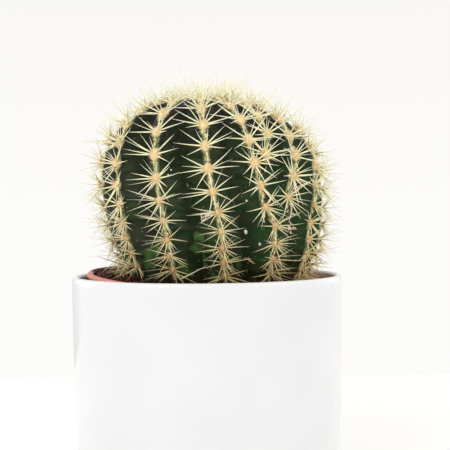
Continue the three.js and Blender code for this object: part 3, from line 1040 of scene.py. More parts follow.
@dataclass
class Outline:
    """The stem's outline: a rounded oval, fuller below its waist, in its own leaning frame."""

    foot: Vector = field(default_factory=lambda: Vector((6.6, 0.0, 118.0)))
    lean: float = 4.8
    slant: float = -0.042
    crown_slope: float = -0.08
    radius: float = 56.9
    waist: float = 47.5
    crown: float = 45.5
    keel: float = 67.0
    roundness: float = 2.26
    dimple_depth: float = 5.0
    dimple_radius: float = 20.0
    root_radius: float = 7.0
    root_tip_radius: float = 1.5
    root_top: float = -62.5
    root_tip: float = -109.5

    def at(self, share: float) -> tuple[float, float]:
        """Reads the outline.

        Args:
            share: 0 at the buried end, one half at the waist and 1 at the top.

        Returns:
            Radius and rise.
        """
        angle = (share - 0.5) * math.pi
        power = 2 / self.roundness
        reach = self.keel if angle < 0 else self.crown
        radius = self.radius * max(math.cos(angle), 0.0) ** power
        rise = math.copysign(reach * abs(math.sin(angle)) ** power, angle)
        inside = min(radius / self.dimple_radius, 1)
        if angle > 0:
            rise -= self.dimple_depth * (1 - inside**2) ** 2
        return radius, rise

    def radius_at(self, rise: float) -> float:
        """Gives the outline's radius at a rise, below the dimple."""
        reach = self.keel if rise < 0 else self.crown
        return self.radius * (1 - held(abs(rise) / reach) ** self.roundness) ** (1 / self.roundness)

    def point(self, radius: float, bearing: float, rise: float) -> Vector:
        """Gives a point of the stem's own frame.

        Args:
            radius: Distance from the slanting axis.
            bearing: Its bearing.
            rise: Its rise.

        Returns:
            The point, in millimetres.
        """
        turn = math.radians(bearing)
        aside = radius * math.sin(turn)
        x = self.slant * max(rise, -self.keel) + aside
        sloped = rise + self.crown_slope * aside * max(rise, 0) / self.crown
        return Vector((x, -radius * math.cos(turn), self.waist + sloped))

    def top(self) -> Vector:
        """Gives the middle of the crown's dimple."""
        return self.point(0, 0, self.at(1.0)[1])

    def root_at(self, rise: float) -> float:
        """Gives the tapering root's radius at a rise, and 0 above it."""
        if rise > self.root_top:
            return 0.0
        share = (rise - self.root_tip) / (self.root_top - self.root_tip)
        return self.root_tip_radius + (self.root_radius - self.root_tip_radius) * share

    def sections(self, count: int, root_count: int = 5) -> Knots:
        """Lists the stem's level sections from the root's tip to just below the top.

        Args:
            count: Number of sections that the round body would have on its own.
            root_count: Number of sections of the root.

        Returns:
            Radius and rise of each.
        """
        body = [self.at(k / count) for k in range(1, count)]
        body = [(radius, rise) for radius, rise in body if radius > self.root_at(rise)]
        length = body[0][1] - self.root_tip
        root = [self.root_tip + length * k / root_count for k in range(root_count)]
        return [(self.root_at(rise), rise) for rise in root] + body

    def matrix(self) -> Matrix:
        """Gives the turn and place of the stem's own frame, in millimetres."""
        return Matrix.Translation(self.foot) @ Matrix.Rotation(-math.radians(self.lean), 4, "Y")


@dataclass
class Rib:
    """One rib: its crest's line, the rise of its lowest areole, and how widely they stand."""

    knots: Knots
    first: float
    pace: float = 1.0

    def bearing(self, rise: float) -> float:
        """Gives the crest's bearing at a rise."""
        return along_knots(self.knots, rise)


@dataclass
class RibPattern:
    """All the ribs round the stem. Two pairs fork, on the right of the front and at the back."""

    draws: random.Random
    depth: float = 11.0
    per_gap: float = 0.42
    merged_below: float = 5.0
    crest_slope: float = 0.3
    crest_power: float = 1.6
    lowest: float = -46.0
    highest: float = 46.0
    back_from: float = 88.0
    back_to: float = 256.0
    back_count: int = 7
    back_twist: float = 3.0
    back_wander: float = 2.0
    back_first: float = -44.0
    back_first_range: float = 4.0
    deeper_soil_before: float = 140.0
    deeper_soil: float = 7.0
    fork: int = 3
    fork_rise: float = 8.0
    fork_start: float = 1.5
    fork_first: float = 14.0
    fork_spread: float = 9.0
    fork_open_rise: float = 36.0
    ribs: list[Rib] = field(default_factory=list)

    def __post_init__(self) -> None:
        """Sets out the ribs, from the front to the right and round."""
        front = [
            Rib([(-46, 1), (-20, 2), (5, 0), (46, 0.5)], -43.9),
            Rib([(-46, 30), (-23, 30), (-10, 24), (10, 22), (46, 23)], -44.7, 1.05),
            Rib([(-46, 33), (-23, 33), (-10, 27), (8, 28.5), (24, 35), (46, 43)], 11.2),
            Rib([(-46, 36), (-23, 35), (-10, 38.5), (10, 48), (46, 61)], -9.9),
            Rib([(-46, 58), (-24, 56), (-6, 63), (16, 71), (46, 82)], -49.3),
        ]
        left = [
            Rib([(-46, 281), (0, 284), (46, 276)], -38),
            Rib([(-46, 305), (-10, 308.5), (14, 308.5), (46, 300)], -36, 0.9),
            Rib([(-46, 331.5), (-20, 335), (46, 334)], -38.9),
        ]
        self.ribs = front + self.back() + left

    def back(self) -> list[Rib]:
        """Sets out the ribs that the front view hides, evenly but for a little wander."""
        ribs = []
        for i in range(self.back_count):
            share = i / (self.back_count - 1)
            bearing = self.back_from + (self.back_to - self.back_from) * share
            bearing += self.back_wander * swing(self.draws)
            first = self.back_first + self.back_first_range * self.draws.random()
            if bearing < self.deeper_soil_before:
                first -= self.deeper_soil
            if i != self.fork:
                twisted = bearing + self.back_twist
                ribs.append(Rib([(self.lowest, bearing), (self.highest, twisted)], first))
                continue
            for side, own_first in ((-1, first), (1, self.fork_first)):
                start = bearing + self.fork_start * side
                end = bearing + self.fork_spread * side
                line = [(self.lowest, start), (self.fork_rise, start), (self.fork_open_rise, end)]
                ribs.append(Rib(line, own_first))
        return ribs

    def gap(self, number: int, rise: float) -> float:
        """Gives the degrees from a rib's crest to the next one's, at a rise."""
        here = self.ribs[number].bearing(rise)
        ahead = self.ribs[(number + 1) % len(self.ribs)].bearing(rise)
        return (ahead - here + 720) % 360

    def surface(self, number: int, share: float, radius: float, rise: float) -> tuple[float, float]:
        """Gives a point of the ribbed surface.

        Args:
            number: The rib's number.
            share: How far it is from that rib's crest to the next, from 0 to 1.
            radius: The outline's radius there.
            rise: Its rise.

        Returns:
            Distance from the axis, and bearing.
        """
        gap = self.gap(number, rise)
        bearing = self.ribs[number].bearing(rise) + gap * share
        if gap <= self.merged_below:
            return radius, bearing
        from_crest = 1 - abs(2 * share - 1)
        cut = self.crest_slope * from_crest + from_crest**self.crest_power
        apart = radius * math.radians(gap - self.merged_below)
        depth = min(self.depth, self.per_gap * apart) * cut / (1 + self.crest_slope)
        return radius - depth, bearing

    def reach(self, bearing: float, radius: float, rise: float) -> float:
        """Gives the ribbed surface's distance from the axis.

        Args:
            bearing: A bearing.
            radius: The outline's radius there.
            rise: A rise.

        Returns:
            The distance.
        """
        for number, rib in enumerate(self.ribs):
            share = (bearing - rib.bearing(rise) + 720) % 360 / max(self.gap(number, rise), 0.01)
            if share <= 1:
                return self.surface(number, share, radius, rise)[0]
        return radius


class SpineKind(Enum):
    """Where a spine grows in its areole: the worn front has lost most of the standing ones."""

    LYING = "lying"
    STANDING = "standing"


@dataclass(frozen=True)
class SpineSort:
    """Like spines of an areole's set: where they point, how long they are, and who has them."""

    kind: SpineKind
    turns: tuple[float, ...]
    lift: float
    length: float
    girth: float
    youngest: float = 0.0
    oldest: float = 1.0
    odds: float = 1.0


@dataclass(frozen=True)
class Areole:
    """One areole: its place in the stem's frame, its age and its size."""

    point: Vector
    out: Vector
    up: Vector
    aside: Vector
    age: float
    size: float


@dataclass
class AreoleRows:
    """Sets out the areoles along every crest, closer together below and in the crown."""

    outline: Outline
    pattern: RibPattern
    pitch_at_waist: float = 10.6
    pitch_per_rise: float = 0.08
    crown_pitch: float = 3.6
    crown_pitch_per_radius: float = 0.3
    last_radius: float = 13.0
    growing_width: float = 24.0
    smallest: float = 0.72
    half_height: float = 2.5
    stride: float = 0.0005
    tangent_strides: int = 8
    soil_level: float = -1.6
    soil_slope_x: float = -0.144
    soil_slope_y: float = 0.02
    lip_radius: float = 59.5
    lip_centre_x: float = -4.8
    lip_above_soil: float = 2.6
    rim_radius: float = 65.4
    rim_level: float = 2.0
    rim_slope: float = -0.084

    def shares(self, rib: Rib) -> list[float]:
        """Walks up a crest.

        Args:
            rib: The rib to walk.

        Returns:
            The outline's share at each of its areoles.
        """
        share = 0.5
        while self.outline.at(share)[1] > rib.first:
            share -= self.stride
        while self.outline.at(share)[1] < rib.first:
            share += self.stride
        found: list[float] = []
        walked = pitch = 0.0
        while share < 1:
            radius, rise = self.outline.at(share)
            if walked >= pitch:
                if radius < self.last_radius and share > 0.5:
                    break
                found.append(share)
                walked = 0.0
                pitch = rib.pace * (self.pitch_at_waist + self.pitch_per_rise * rise)
                if rise > 0:
                    pitch = min(pitch, self.crown_pitch + self.crown_pitch_per_radius * radius)
            share += self.stride
            ahead = self.outline.at(share)
            walked += math.hypot(ahead[0] - radius, ahead[1] - rise)
        return found

    def crest(self, rib: Rib, share: float) -> Vector:
        """Gives the point of a rib's crest at the outline's share."""
        radius, rise = self.outline.at(share)
        return self.outline.point(radius, rib.bearing(rise), rise)

    def place(self, rib: Rib, share: float) -> Areole:
        """Finds one areole's place.

        Args:
            rib: The rib that carries it.
            share: The outline's share there.

        Returns:
            The areole.
        """
        radius, rise = self.outline.at(share)
        near = self.tangent_strides * self.stride
        up = (self.crest(rib, share + near) - self.crest(rib, share - near)).normalized()
        aside = outwards(math.radians(rib.bearing(rise)))
        out = aside.cross(up).normalized()
        age = (self.outline.crown - rise) / (self.outline.crown + self.outline.waist)
        grown_up = held((radius - self.last_radius) / self.growing_width) if rise > 0 else 1
        size = self.smallest + (1 - self.smallest) * grown_up
        return Areole(self.crest(rib, share), out, up, up.cross(out), held(age), size)

    def seats(self) -> list[list[float]]:
        """Lists the rises of each rib's areoles."""
        return [[self.outline.at(s)[1] for s in self.shares(rib)] for rib in self.pattern.ribs]

    def all(self) -> list[Areole]:
        """Lists every areole that stands clear of the soil."""
        areoles = [self.place(rib, s) for rib in self.pattern.ribs for s in self.shares(rib)]
        return [a for a in areoles if a.point.z - self.half_height > self.soil_line(a.point)]

    def soil_line(self, point: Vector) -> float:
        """Gives the height of the soil, or of a pot's lip beside it, under a point.

        Args:
            point: A point of the stem's frame.

        Returns:
            The height there, in the same frame.
        """
        x, y = point.x, point.y
        line = self.soil_level + self.soil_slope_x * x + self.soil_slope_y * y
        reach = math.hypot(x - self.lip_centre_x, y)
        if reach > self.lip_radius:
            line += self.lip_above_soil
        if reach > self.rim_radius:
            line = max(line, self.rim_level + self.rim_slope * x)
        return line


@dataclass
class Stem:
    """The ribbed, fleshy stem with its buried end and root."""

    outline: Outline
    pattern: RibPattern
    rings: int = 170
    columns_per_rib: int = 18
    crowding: float = 0.55
    ridge_width: float = 1.7
    ridge_start: float = 7.0
    notch: float = 1.0
    notch_reach: float = 2.6
    notch_width: float = 5.0
    waviness: float = 1.1
    wave_size: float = 15.0

    def notch_at(self, rise: float, beside: float, seats: list[float]) -> float:
        """Gives how far the crest dips under its areoles.

        Args:
            rise: The rise.
            beside: Distance from the crest's line.
            seats: Rises of the crest's areoles.

        Returns:
            The dip below the outline.
        """
        if beside > self.notch_width:
            return 0.0
        near = min((abs(rise - seat) for seat in seats), default=math.inf)
        fade = 1 - smooth(beside / self.notch_width)
        return self.notch * fade * math.exp(-((near / self.notch_reach) ** 2))

    def skin(self, seats: list[list[float]]) -> Thing:
        """Lays the ribbed skin, before its slow swellings.

        Args:
            seats: Rises of the areoles of each rib.

        Returns:
            The stem, with the attributes depth, ridge and height.
        """
        outline, pattern = self.outline, self.pattern
        sections = outline.sections(self.rings)
        points = [outline.point(0, 0, outline.root_tip)]
        depths, ridges = [1.0], [0.0]
        count = len(pattern.ribs)
        evens = [c / self.columns_per_rib for c in range(self.columns_per_rib)]
        shares = [e - self.crowding * math.sin(FULL_TURN * e) / FULL_TURN for e in evens]
        for radius, rise in sections:
            for number in range(count):
                gap = pattern.gap(number, rise)
                for share in shares:
                    reach, bearing = pattern.surface(number, share, radius, rise)
                    nearest = number if share < 0.5 else (number + 1) % count
                    beside = min(share, 1 - share) * math.radians(gap) * radius
                    dip = self.notch_at(rise, beside, seats[nearest])
                    points.append(outline.point(reach - dip, bearing, rise))
                    depths.append((radius - reach) / pattern.depth)
                    grown_in = smooth(1 + (rise - pattern.ribs[nearest].first) / self.ridge_start)
                    ridges.append(grown_in * max(1 - beside / self.ridge_width, 0.0))
        points.append(outline.top())
        faces = skin_faces(len(sections), count * self.columns_per_rib)
        stem = mesh_object("cactus_stem", points, faces)
        tall = outline.waist + outline.crown
        heights = [held(p.z / tall) for p in points]
        store(stem, depth=depths + [0.0], ridge=ridges + [0.0], height=heights)
        return stem

    def rule(self, tree: Tree, given: Inputs) -> Node:
        """Adds the nodes that give the skin its slow swellings."""
        wave = unevenness(tree, given["Wave size"], given["Wave height"], 2.0)
        return swollen(tree, given["Geometry"], wave)

    def build(self, seats: list[list[float]], finish: CactusSkin) -> Thing:
        """Builds the stem and dresses it.

        Args:
            seats: Rises of the areoles of each rib.
            finish: The skin's finish.

        Returns:
            The finished stem.
        """
        stem = self.skin(seats)
        sizes = {"Wave height": self.waviness * MM, "Wave size": self.wave_size * MM}
        grown(stem, self.rule, sizes, finish)
        return settle(stem, self.outline.matrix(), "cactus")


@dataclass
class Wool:
    """The areoles' felt: a ragged pad on each, the crown's cushion, and short hair on them.

    The real hair is finer, and is made as thick as it needs to be to show.
    """

    outline: Outline
    draws: random.Random
    width: float = 4.7
    height: float = 6.0
    proud: float = 1.7
    young_below: float = 0.22
    young_stretch: float = 0.5
    shrinks_from: float = 0.4
    shrinks_over: float = 0.27
    oldest: float = 0.52
    stray_size: float = 0.08
    trails: int = 4
    trail_reach: float = 8.0
    trail_drift: float = 0.8
    trail_least: float = 0.6
    trail_range: float = 0.7
    trail_age: float = 0.5
    trail_span: Vector = field(default_factory=lambda: Vector((0.8, 2.2, 0.7)))
    lump: float = 1.7
    lump_size: float = 2.2
    hair_length: float = 1.5
    hair_girth: float = 0.09
    hairs_per_mm2: float = 2.6
    hair_stray: float = 0.8
    crown_pads: int = 30
    crown_radius: float = 13.0
    crown_pad: float = 6.4
    crown_span: Vector = field(default_factory=lambda: Vector((1, 1.3, 0.8)))
    crown_least: float = 0.8
    crown_range: float = 0.4
    crown_bulge: float = 2.2
    crown_age: float = 0.4
    seed: int = 7

    def span(self, areole: Areole) -> Vector:
        """Gives the size of an areole's pad: longer when young, smaller when old.

        Args:
            areole: The areole.

        Returns:
            The pad's width, height and thickness.
        """
        young = held(1 - areole.age / self.young_below)
        old = smooth((areole.age - self.shrinks_from) / self.shrinks_over)
        size = areole.size * (1 - (1 - self.oldest) * old)
        size *= 1 + self.stray_size * swing(self.draws)
        tall = self.height * (1 + self.young_stretch * young)
        return Vector((self.width, tall, 2 * self.proud)) * size

    def points(self, areoles: list[Areole]) -> Thing:
        """Marks each pad's place, the trail of worn felt below it, and the crown's packed wool.

        Args:
            areoles: The areoles.

        Returns:
            A mesh of bare points, with the attributes turn, span and age.
        """
        spots, turns, spans, ages = [], [], [], []
        for areole in areoles:
            turn = tuple(basis(areole.aside, areole.up, areole.out).to_euler())
            turns += [turn] * (1 + self.trails)
            spots.append(areole.point)
            spans.append(self.span(areole))
            ages.append(areole.age)
            for k in range(self.trails):
                down = self.trail_reach * (k + self.draws.random()) / self.trails
                drift = areole.aside * self.trail_drift * swing(self.draws)
                sunk = areole.out * down**2 / (2 * self.outline.radius)
                spots.append(areole.point - areole.up * down + drift - sunk)
                size = self.trail_least + self.trail_range * self.draws.random()
                spans.append(self.trail_span * size)
                ages.append(areole.age * self.trail_age)
        for k in range(self.crown_pads):
            share = (k + 0.5) / self.crown_pads
            out = outwards(k * GOLDEN_ANGLE) * self.crown_radius * math.sqrt(share)
            spots.append(self.outline.top() + out + Vector((0, 0, self.crown_bulge * (1 - share))))
            turns.append((0.0, 0.0, k * GOLDEN_ANGLE))
            size = self.crown_least + self.crown_range * self.draws.random()
            spans.append(self.crown_span * self.crown_pad * size)
            ages.append(self.crown_age * self.draws.random())
        thing = mesh_object("areole_wool", spots, [])
        store(thing, turn=turns, span=[s * MM for s in spans], age=ages)
        return thing

    def rule(self, tree: Tree, given: Inputs) -> Node:
        """Adds the nodes that make the pads and grow hair on them.

        Args:
            tree: The geometry tree.
            given: Its inputs, for the pads' lumps and the hair's length, girth and density.

        Returns:
            The pads with their hair.
        """
        pads = lumpy_pads(tree, given)
        amount = {"Density": given["Hair density"], "Seed": given["Seed"]}
        roots = add_node(tree, "GeometryNodeDistributePointsOnFaces", pads, **amount)
        hair = add_node(
            tree,
            "GeometryNodeMeshCone",
            Vertices=3,
            Radius_Top=0.0,
            Radius_Bottom=given["Hair girth"],
            Depth=given["Hair length"],
        )
        hair = add_node(tree, "GeometryNodeStoreNamedAttribute", hair, Name="core", Value=0.0)
        limits = {"Min": (-self.hair_stray,) * 3, "Max": (self.hair_stray,) * 3}
        drawn = {"data_type": "FLOAT_VECTOR", "Seed": given["Seed"], **limits}
        stray = add_node(tree, "FunctionNodeRandomValue", **drawn)
        stray = add_node(tree, "FunctionNodeEulerToRotation", stray)
        upright = roots.outputs["Rotation"]
        leaning = add_node(tree, "FunctionNodeRotateRotation", upright, stray)
        hairs = copies(tree, roots, hair, leaning, (1, 1, 1))
        return add_node(tree, "GeometryNodeJoinGeometry", [pads, hairs])

    def build(self, areoles: list[Areole], finish: AreoleFelt) -> Thing:
        """Builds the wool and dresses it.

        Args:
            areoles: The areoles.
            finish: The felt.

        Returns:
            The finished piece.
        """
        wool = self.points(areoles)
        sizes = {
            "Lump": self.lump * MM,
            "Lump size": self.lump_size * MM,
            "Hair length": self.hair_length * MM,
            "Hair girth": self.hair_girth * MM,
            "Hair density": self.hairs_per_mm2 / MM**2,
            "Seed": self.seed,
        }
        grown(wool, self.rule, sizes, finish)
        return settle(wool, self.outline.matrix(), "cactus")


@dataclass(frozen=True)
class LooseSpine:
    """A spine that hangs apart from the sets: both ends as bearing, rise and height above."""

    root: tuple[float, float, float]
    tip: tuple[float, float, float]
    girth: float
    age: float


@dataclass(frozen=True)
class PlacedSpine:
    """One spine in its place in the stem's frame, before it bends."""

    root: Vector
    aim: Vector
    length: float
    girth: float
    age: float


LYING, STANDING = SpineKind.LYING, SpineKind.STANDING


@dataclass
class Spines:
    """All the spines: a fan round each areole, some from its middle, and the crown's brush."""

    outline: Outline
    rows: AreoleRows
    draws: random.Random
    sides: int = 5
    rings: int = 5
    taper_power: float = 1.2
    tip_girth: float = 0.04
    root_apart: float = 1.2
    root_above: float = 0.5
    stray_turn: float = 11.0
    stray_lift: float = 9.0
    stray_length: float = 0.2
    droop: float = 0.11
    clear: float = 1.0
    lift_step: float = 0.06
    young_before: float = 0.2
    young_lift: float = 0.5
    old_from: float = 0.45
    old_over: float = 0.3
    old_shorter: float = 0.18
    old_thinner: float = 0.3
    front_worn: float = 0.85
    crown_count: int = 110
    crown_radius: float = 12.0
    crown_girth: float = 0.22
    crown_length: float = 12.0
    crown_length_range: float = 6.0
    crown_root: float = 2.0
    crown_lean: float = 0.12
    crown_flare: float = 0.6
    crown_stray: float = 0.25
    sorts: tuple[SpineSort, ...] = (
        SpineSort(LYING, (60, -60), 22, 13.5, 0.42),
        SpineSort(LYING, (89, -91), 18, 14.5, 0.42),
        SpineSort(LYING, (119, -117), 24, 10.5, 0.38, odds=0.85),
        SpineSort(LYING, (76, -76), 20, 12.0, 0.36, odds=0.35),
        SpineSort(LYING, (34, -32), 32, 9.5, 0.28, odds=0.6),
        SpineSort(LYING, (4,), 34, 7.5, 0.26, odds=0.35),
        SpineSort(LYING, (148, -150), 26, 12.5, 0.38, youngest=0.4, odds=0.8),
        SpineSort(LYING, (176,), 32, 15.0, 0.44, youngest=0.35, odds=0.75),
        SpineSort(LYING, (104, -106), 20, 10.0, 0.32, youngest=0.6, odds=0.7),
        SpineSort(LYING, (135, -133), 22, 11.0, 0.32, youngest=0.6, odds=0.7),
        SpineSort(STANDING, (20, -66, 72, 150, -140), 62, 16.5, 0.26, oldest=0.25),
        SpineSort(STANDING, (160,), 60, 12.5, 0.3, youngest=0.25, odds=0.7),
        SpineSort(STANDING, (30, -50, 80, -120), 57, 15.0, 0.22, youngest=0.25, odds=0.85),
        SpineSort(STANDING, (-15, 55, 110, 170, -85), 48, 12.5, 0.2, youngest=0.15, odds=0.8),
    )
    loose: tuple[LooseSpine, ...] = (
        LooseSpine((-24.1, -43.6, 3.0), (-6.0, -38.0, 2.2), 0.42, 0.45),
        LooseSpine((-86, -36.0, 0.5), (-88, -30.5, 12.5), 0.32, 2.0),
    )

    def on_areole(self, areole: Areole, sort: SpineSort, turn: float) -> list[PlacedSpine]:
        """Sets out one spine of an areole, or none where it has no such spine.

        Args:
            areole: The areole.
            sort: The spine's sort.
            turn: Where it points, from straight up the rib to the right.

        Returns:
            At most one spine.
        """
        drawn = self.draws.random()
        turn = math.radians(turn + self.stray_turn * swing(self.draws))
        lift = math.radians(sort.lift + self.stray_lift * swing(self.draws))
        if areole.age < self.young_before:
            lift += (1 - areole.size) * self.young_lift
        length = sort.length * (1 + self.stray_length * swing(self.draws))
        odds = sort.odds
        if sort.kind is STANDING:
            odds *= 1 - self.front_worn * max(-areole.out.y, 0)
        if not sort.youngest <= areole.age <= sort.oldest or drawn > odds:
            return []
        old = smooth((areole.age - self.old_from) / self.old_over)
        if sort.kind is LYING:
            length *= 1 - self.old_shorter * old
        flat = areole.aside * math.sin(turn) + areole.up * math.cos(turn)
        aim = flat * math.cos(lift) + areole.out * math.sin(lift)
        root = areole.point + flat * self.root_apart * areole.size + areole.out * self.root_above
        girth = sort.girth * (1 - self.old_thinner * old)
        return [PlacedSpine(root, aim.normalized(), length, girth, areole.age)]

    def on_crown(self) -> list[PlacedSpine]:
        """Sets out the brush on the crown, more upright in its middle."""
        top = self.outline.top()
        brush = []
        for _ in range(self.crown_count):
            out = outwards(FULL_TURN * self.draws.random())
            reach = self.crown_radius * math.sqrt(self.draws.random())
            lean = self.crown_lean + self.crown_flare * reach / self.crown_radius
            aim = out * lean + Vector((0, 0, 1))
            aim += Vector((swing(self.draws), swing(self.draws), 0)) * self.crown_stray
            root = top + out * reach + Vector((0, 0, self.crown_root))
            length = self.crown_length + self.crown_length_range * self.draws.random()
            brush.append(PlacedSpine(root, aim.normalized(), length, self.crown_girth, 0.0))
        return brush

    def on_bare_skin(self) -> list[PlacedSpine]:
        """Sets out the loose spines."""
        found = []
        for spine in self.loose:
            root, tip = (
                self.outline.point(self.outline.radius_at(rise) + above, bearing, rise)
                for bearing, rise, above in (spine.root, spine.tip)
            )
            way = tip - root
            placed = PlacedSpine(root, way.normalized(), way.length, spine.girth, spine.age)
            found.append(placed)
        return found

    def lay(self, areoles: list[Areole]) -> Thing:
        """Marks each spine's root.

        Args:
            areoles: The areoles that carry them.

        Returns:
            A mesh of bare points, with the attributes aim, span, bend and age.
        """
        sets = [(sort, turn) for sort in self.sorts for turn in sort.turns]
        spines = [s for a in areoles for sort, turn in sets for s in self.on_areole(a, sort, turn)]
        spines += self.on_crown() + self.on_bare_skin()
        aims, spans, bends = [], [], []
        for spine in spines:
            aim, tip = spine.aim, spine.root + spine.aim * spine.length
            while tip.z < self.rows.soil_line(tip) + self.clear:
                aim = (aim + Vector((0, 0, self.lift_step))).normalized()
                tip = spine.root + aim * spine.length
            side = aim.cross(Vector([swing(self.draws) for _ in range(3)])).normalized()
            aims.append(aim)
            spans.append(Vector((spine.girth, spine.girth, spine.length)) * MM)
            bends.append(side * spine.length * self.droop * self.draws.random() * MM)
        thing = mesh_object("cactus_spines", [spine.root for spine in spines], [])
        store(thing, aim=aims, span=spans, bend=bends, age=[spine.age for spine in spines])
        return thing

    def rule(self, tree: Tree, given: Inputs) -> Node:
        """Adds the nodes that grow a tapered, bent spine on each point.

        Args:
            tree: The geometry tree.
            given: Its inputs, for a spine's sides, rings and taper.

        Returns:
            The spines.
        """
        rod = add_node(
            tree,
            "GeometryNodeMeshCone",
            Vertices=given["Sides"],
            Side_Segments=given["Rings"],
            Radius_Top=1.0,
            Radius_Bottom=1.0,
            Depth=1.0,
        )
        place = add_node(tree, "GeometryNodeInputPosition")
        height = add_node(tree, "ShaderNodeSeparateXYZ", place).outputs["Z"]
        rod = add_node(tree, "GeometryNodeStoreNamedAttribute", rod, Name="along", Value=height)
        worn = add_node(tree, "ShaderNodeMath", height, given["Taper power"], operation="POWER")
        full = 1 + self.tip_girth
        left = add_node(tree, "ShaderNodeMath", full, worn, operation="SUBTRACT")
        slim = add_node(tree, "ShaderNodeCombineXYZ", left, left, 1.0)
        shape = add_node(tree, "ShaderNodeVectorMath", place, slim, operation="MULTIPLY")
        tapered = add_node(tree, "GeometryNodeSetPosition", rod, Position=shape)
        aim, span, bend = (
            add_node(tree, "GeometryNodeInputNamedAttribute", data_type="FLOAT_VECTOR", Name=name)
            for name in ("aim", "span", "bend")
        )
        turn = add_node(tree, "FunctionNodeAlignRotationToVector", axis="Z", Vector=aim)
        spines = copies(tree, given["Geometry"], tapered, turn, span)
        along = add_node(tree, "GeometryNodeInputNamedAttribute", Name="along")
        curve = add_node(tree, "ShaderNodeMath", along, along, operation="MULTIPLY")
        offset = add_node(tree, "ShaderNodeVectorMath", bend, Scale=curve, operation="SCALE")
        return add_node(tree, "GeometryNodeSetPosition", spines, Offset=offset)

    def build(self, areoles: list[Areole], finish: SpineHorn) -> Thing:
        """Builds the spines and dresses them.

        Args:
            areoles: The areoles that carry them.
            finish: The spines' finish.

        Returns:
            The finished piece.
        """
        spines = self.lay(areoles)
        sizes = {"Sides": self.sides, "Rings": self.rings, "Taper power": self.taper_power}
        grown(spines, self.rule, sizes, finish)
        return settle(spines, self.outline.matrix(), "cactus")


@dataclass(frozen=True)
class Scrap:
    """One dry scrap on the skin: its path by bearing and rise, its width, and how pale it is."""

    path: tuple[tuple[float, float], ...]
    width: float
    tone: float


@dataclass
class Litter:
    """Dry scraps that lie on the stem: flakes of old flowers, perlite dust and tufts of fluff."""

    outline: Outline
    pattern: RibPattern
    draws: random.Random
    spacing: float = 0.5
    drift: float = 0.2
    thinnest: float = 0.45
    flatness: float = 0.7
    stretch: float = 0.5
    lump: float = 0.4
    lump_size: float = 0.9
    scraps: tuple[Scrap, ...] = (
        Scrap(((39.6, -12.9), (42, -14.6), (44.2, -16.4), (44.9, -19.3), (47, -22.7)), 1.5, 0.7),
        Scrap(((45.0, -15.4), (49.7, -18.7)), 1.4, 0.75),
        Scrap(((60.3, -2.8), (56.9, -4.4), (50.8, -5.9), (45.0, -7.5)), 1.3, 0.75),
        Scrap(((40.6, -23.7), (43.5, -24.5), (48.8, -25.0)), 1.5, 0.7),
        Scrap(((15.5, -36.5), (18.2, -37.6), (20.6, -39.6)), 1.0, 0.6),
        Scrap(((24.0, -17.1), (24.2, -17.9)), 2.0, 0.75),
        Scrap(((24.4, -18.4), (24.8, -20.6)), 0.8, 0.7),
        Scrap(((-7.3, -17.9), (-4.4, -16.3)), 0.8, 0.8),
        Scrap(((-6.0, -15.7), (-3.3, -15.2), (-0.2, -15.0)), 1.0, 0.8),
        Scrap(((-6.6, -14.2), (-7.0, -17.2)), 0.8, 0.8),
        Scrap(((-3.8, -14.4), (-4.6, -17.0)), 0.8, 0.8),
        Scrap(((16.6, -24.6),), 1.9, 1.0),
        Scrap(((22.7, -30.8),), 1.2, 1.0),
        Scrap(((46.6, -26.8),), 1.2, 1.0),
        Scrap(((17.2, -9.9),), 1.1, 1.0),
        Scrap(((50.5, -10.8),), 1.1, 1.0),
        Scrap(((-18.7, 7.2),), 0.8, 1.0),
        Scrap(((-20.3, 4.8),), 0.8, 1.0),
        Scrap(((148.0, -19.5), (151.0, -22.0), (152.0, -25.0)), 1.4, 0.6),
        Scrap(((213.0, -9.0), (214.0, -9.6)), 1.4, 0.95),
        Scrap(((262.0, -25.0), (264.5, -28.0)), 1.4, 0.4),
    )

    def lumps(self, scrap: Scrap) -> list[tuple[float, float, float]]:
        """Sets out the lumps that make up a scrap, small at its ends.

        Args:
            scrap: The scrap.

        Returns:
            Bearing, rise and width of each.
        """
        found = []
        for (turn, rise), (turn_on, rise_on) in zip(scrap.path, (*scrap.path[1:], scrap.path[-1])):
            aside = math.radians(turn_on - turn) * self.outline.radius
            steps = max(round(math.hypot(aside, rise_on - rise) / scrap.width / self.spacing), 1)
            found += [
                (turn + (turn_on - turn) * k / steps, rise + (rise_on - rise) * k / steps)
                for k in range(steps)
            ]
        lumps = []
        for k, (turn, rise) in enumerate(found):
            full = math.sin(math.pi * (k + 0.5) / len(found))
            width = scrap.width * (self.thinnest + (1 - self.thinnest) * full)
            stray = scrap.width * self.drift * swing(self.draws)
            lumps.append((turn + math.degrees(stray / self.outline.radius), rise + stray, width))
        return lumps

    def build(self, finish: DryScrap) -> Thing:
        """Builds the scraps and dresses them.

        Args:
            finish: The scraps' finish.

        Returns:
            The finished piece.
        """
        spots, turns, spans, tones = [], [], [], []
        for scrap in self.scraps:
            for bearing, rise, width in self.lumps(scrap):
                reach = self.pattern.reach(bearing, self.outline.radius_at(rise), rise)
                spots.append(self.outline.point(reach, bearing, rise))
                aside = outwards(math.radians(bearing))
                facing = basis(aside, Vector((0, 0, 1)), aside.cross(Vector((0, 0, 1))))
                turns.append(tuple(facing.to_euler()))
                long = width * (1 + self.stretch * self.draws.random())
                spans.append(Vector((width, long, width * self.flatness)) * MM)
                tones.append(scrap.tone)
        litter = mesh_object("dry_scraps", spots, [])
        store(litter, turn=turns, span=spans, tone=tones)
        sizes = {"Lump": self.lump * MM, "Lump size": self.lump_size * MM}
        grown(litter, lumpy_pads, sizes, finish)
        return settle(litter, self.outline.matrix())


# ------------------------------------------------------------------ soil


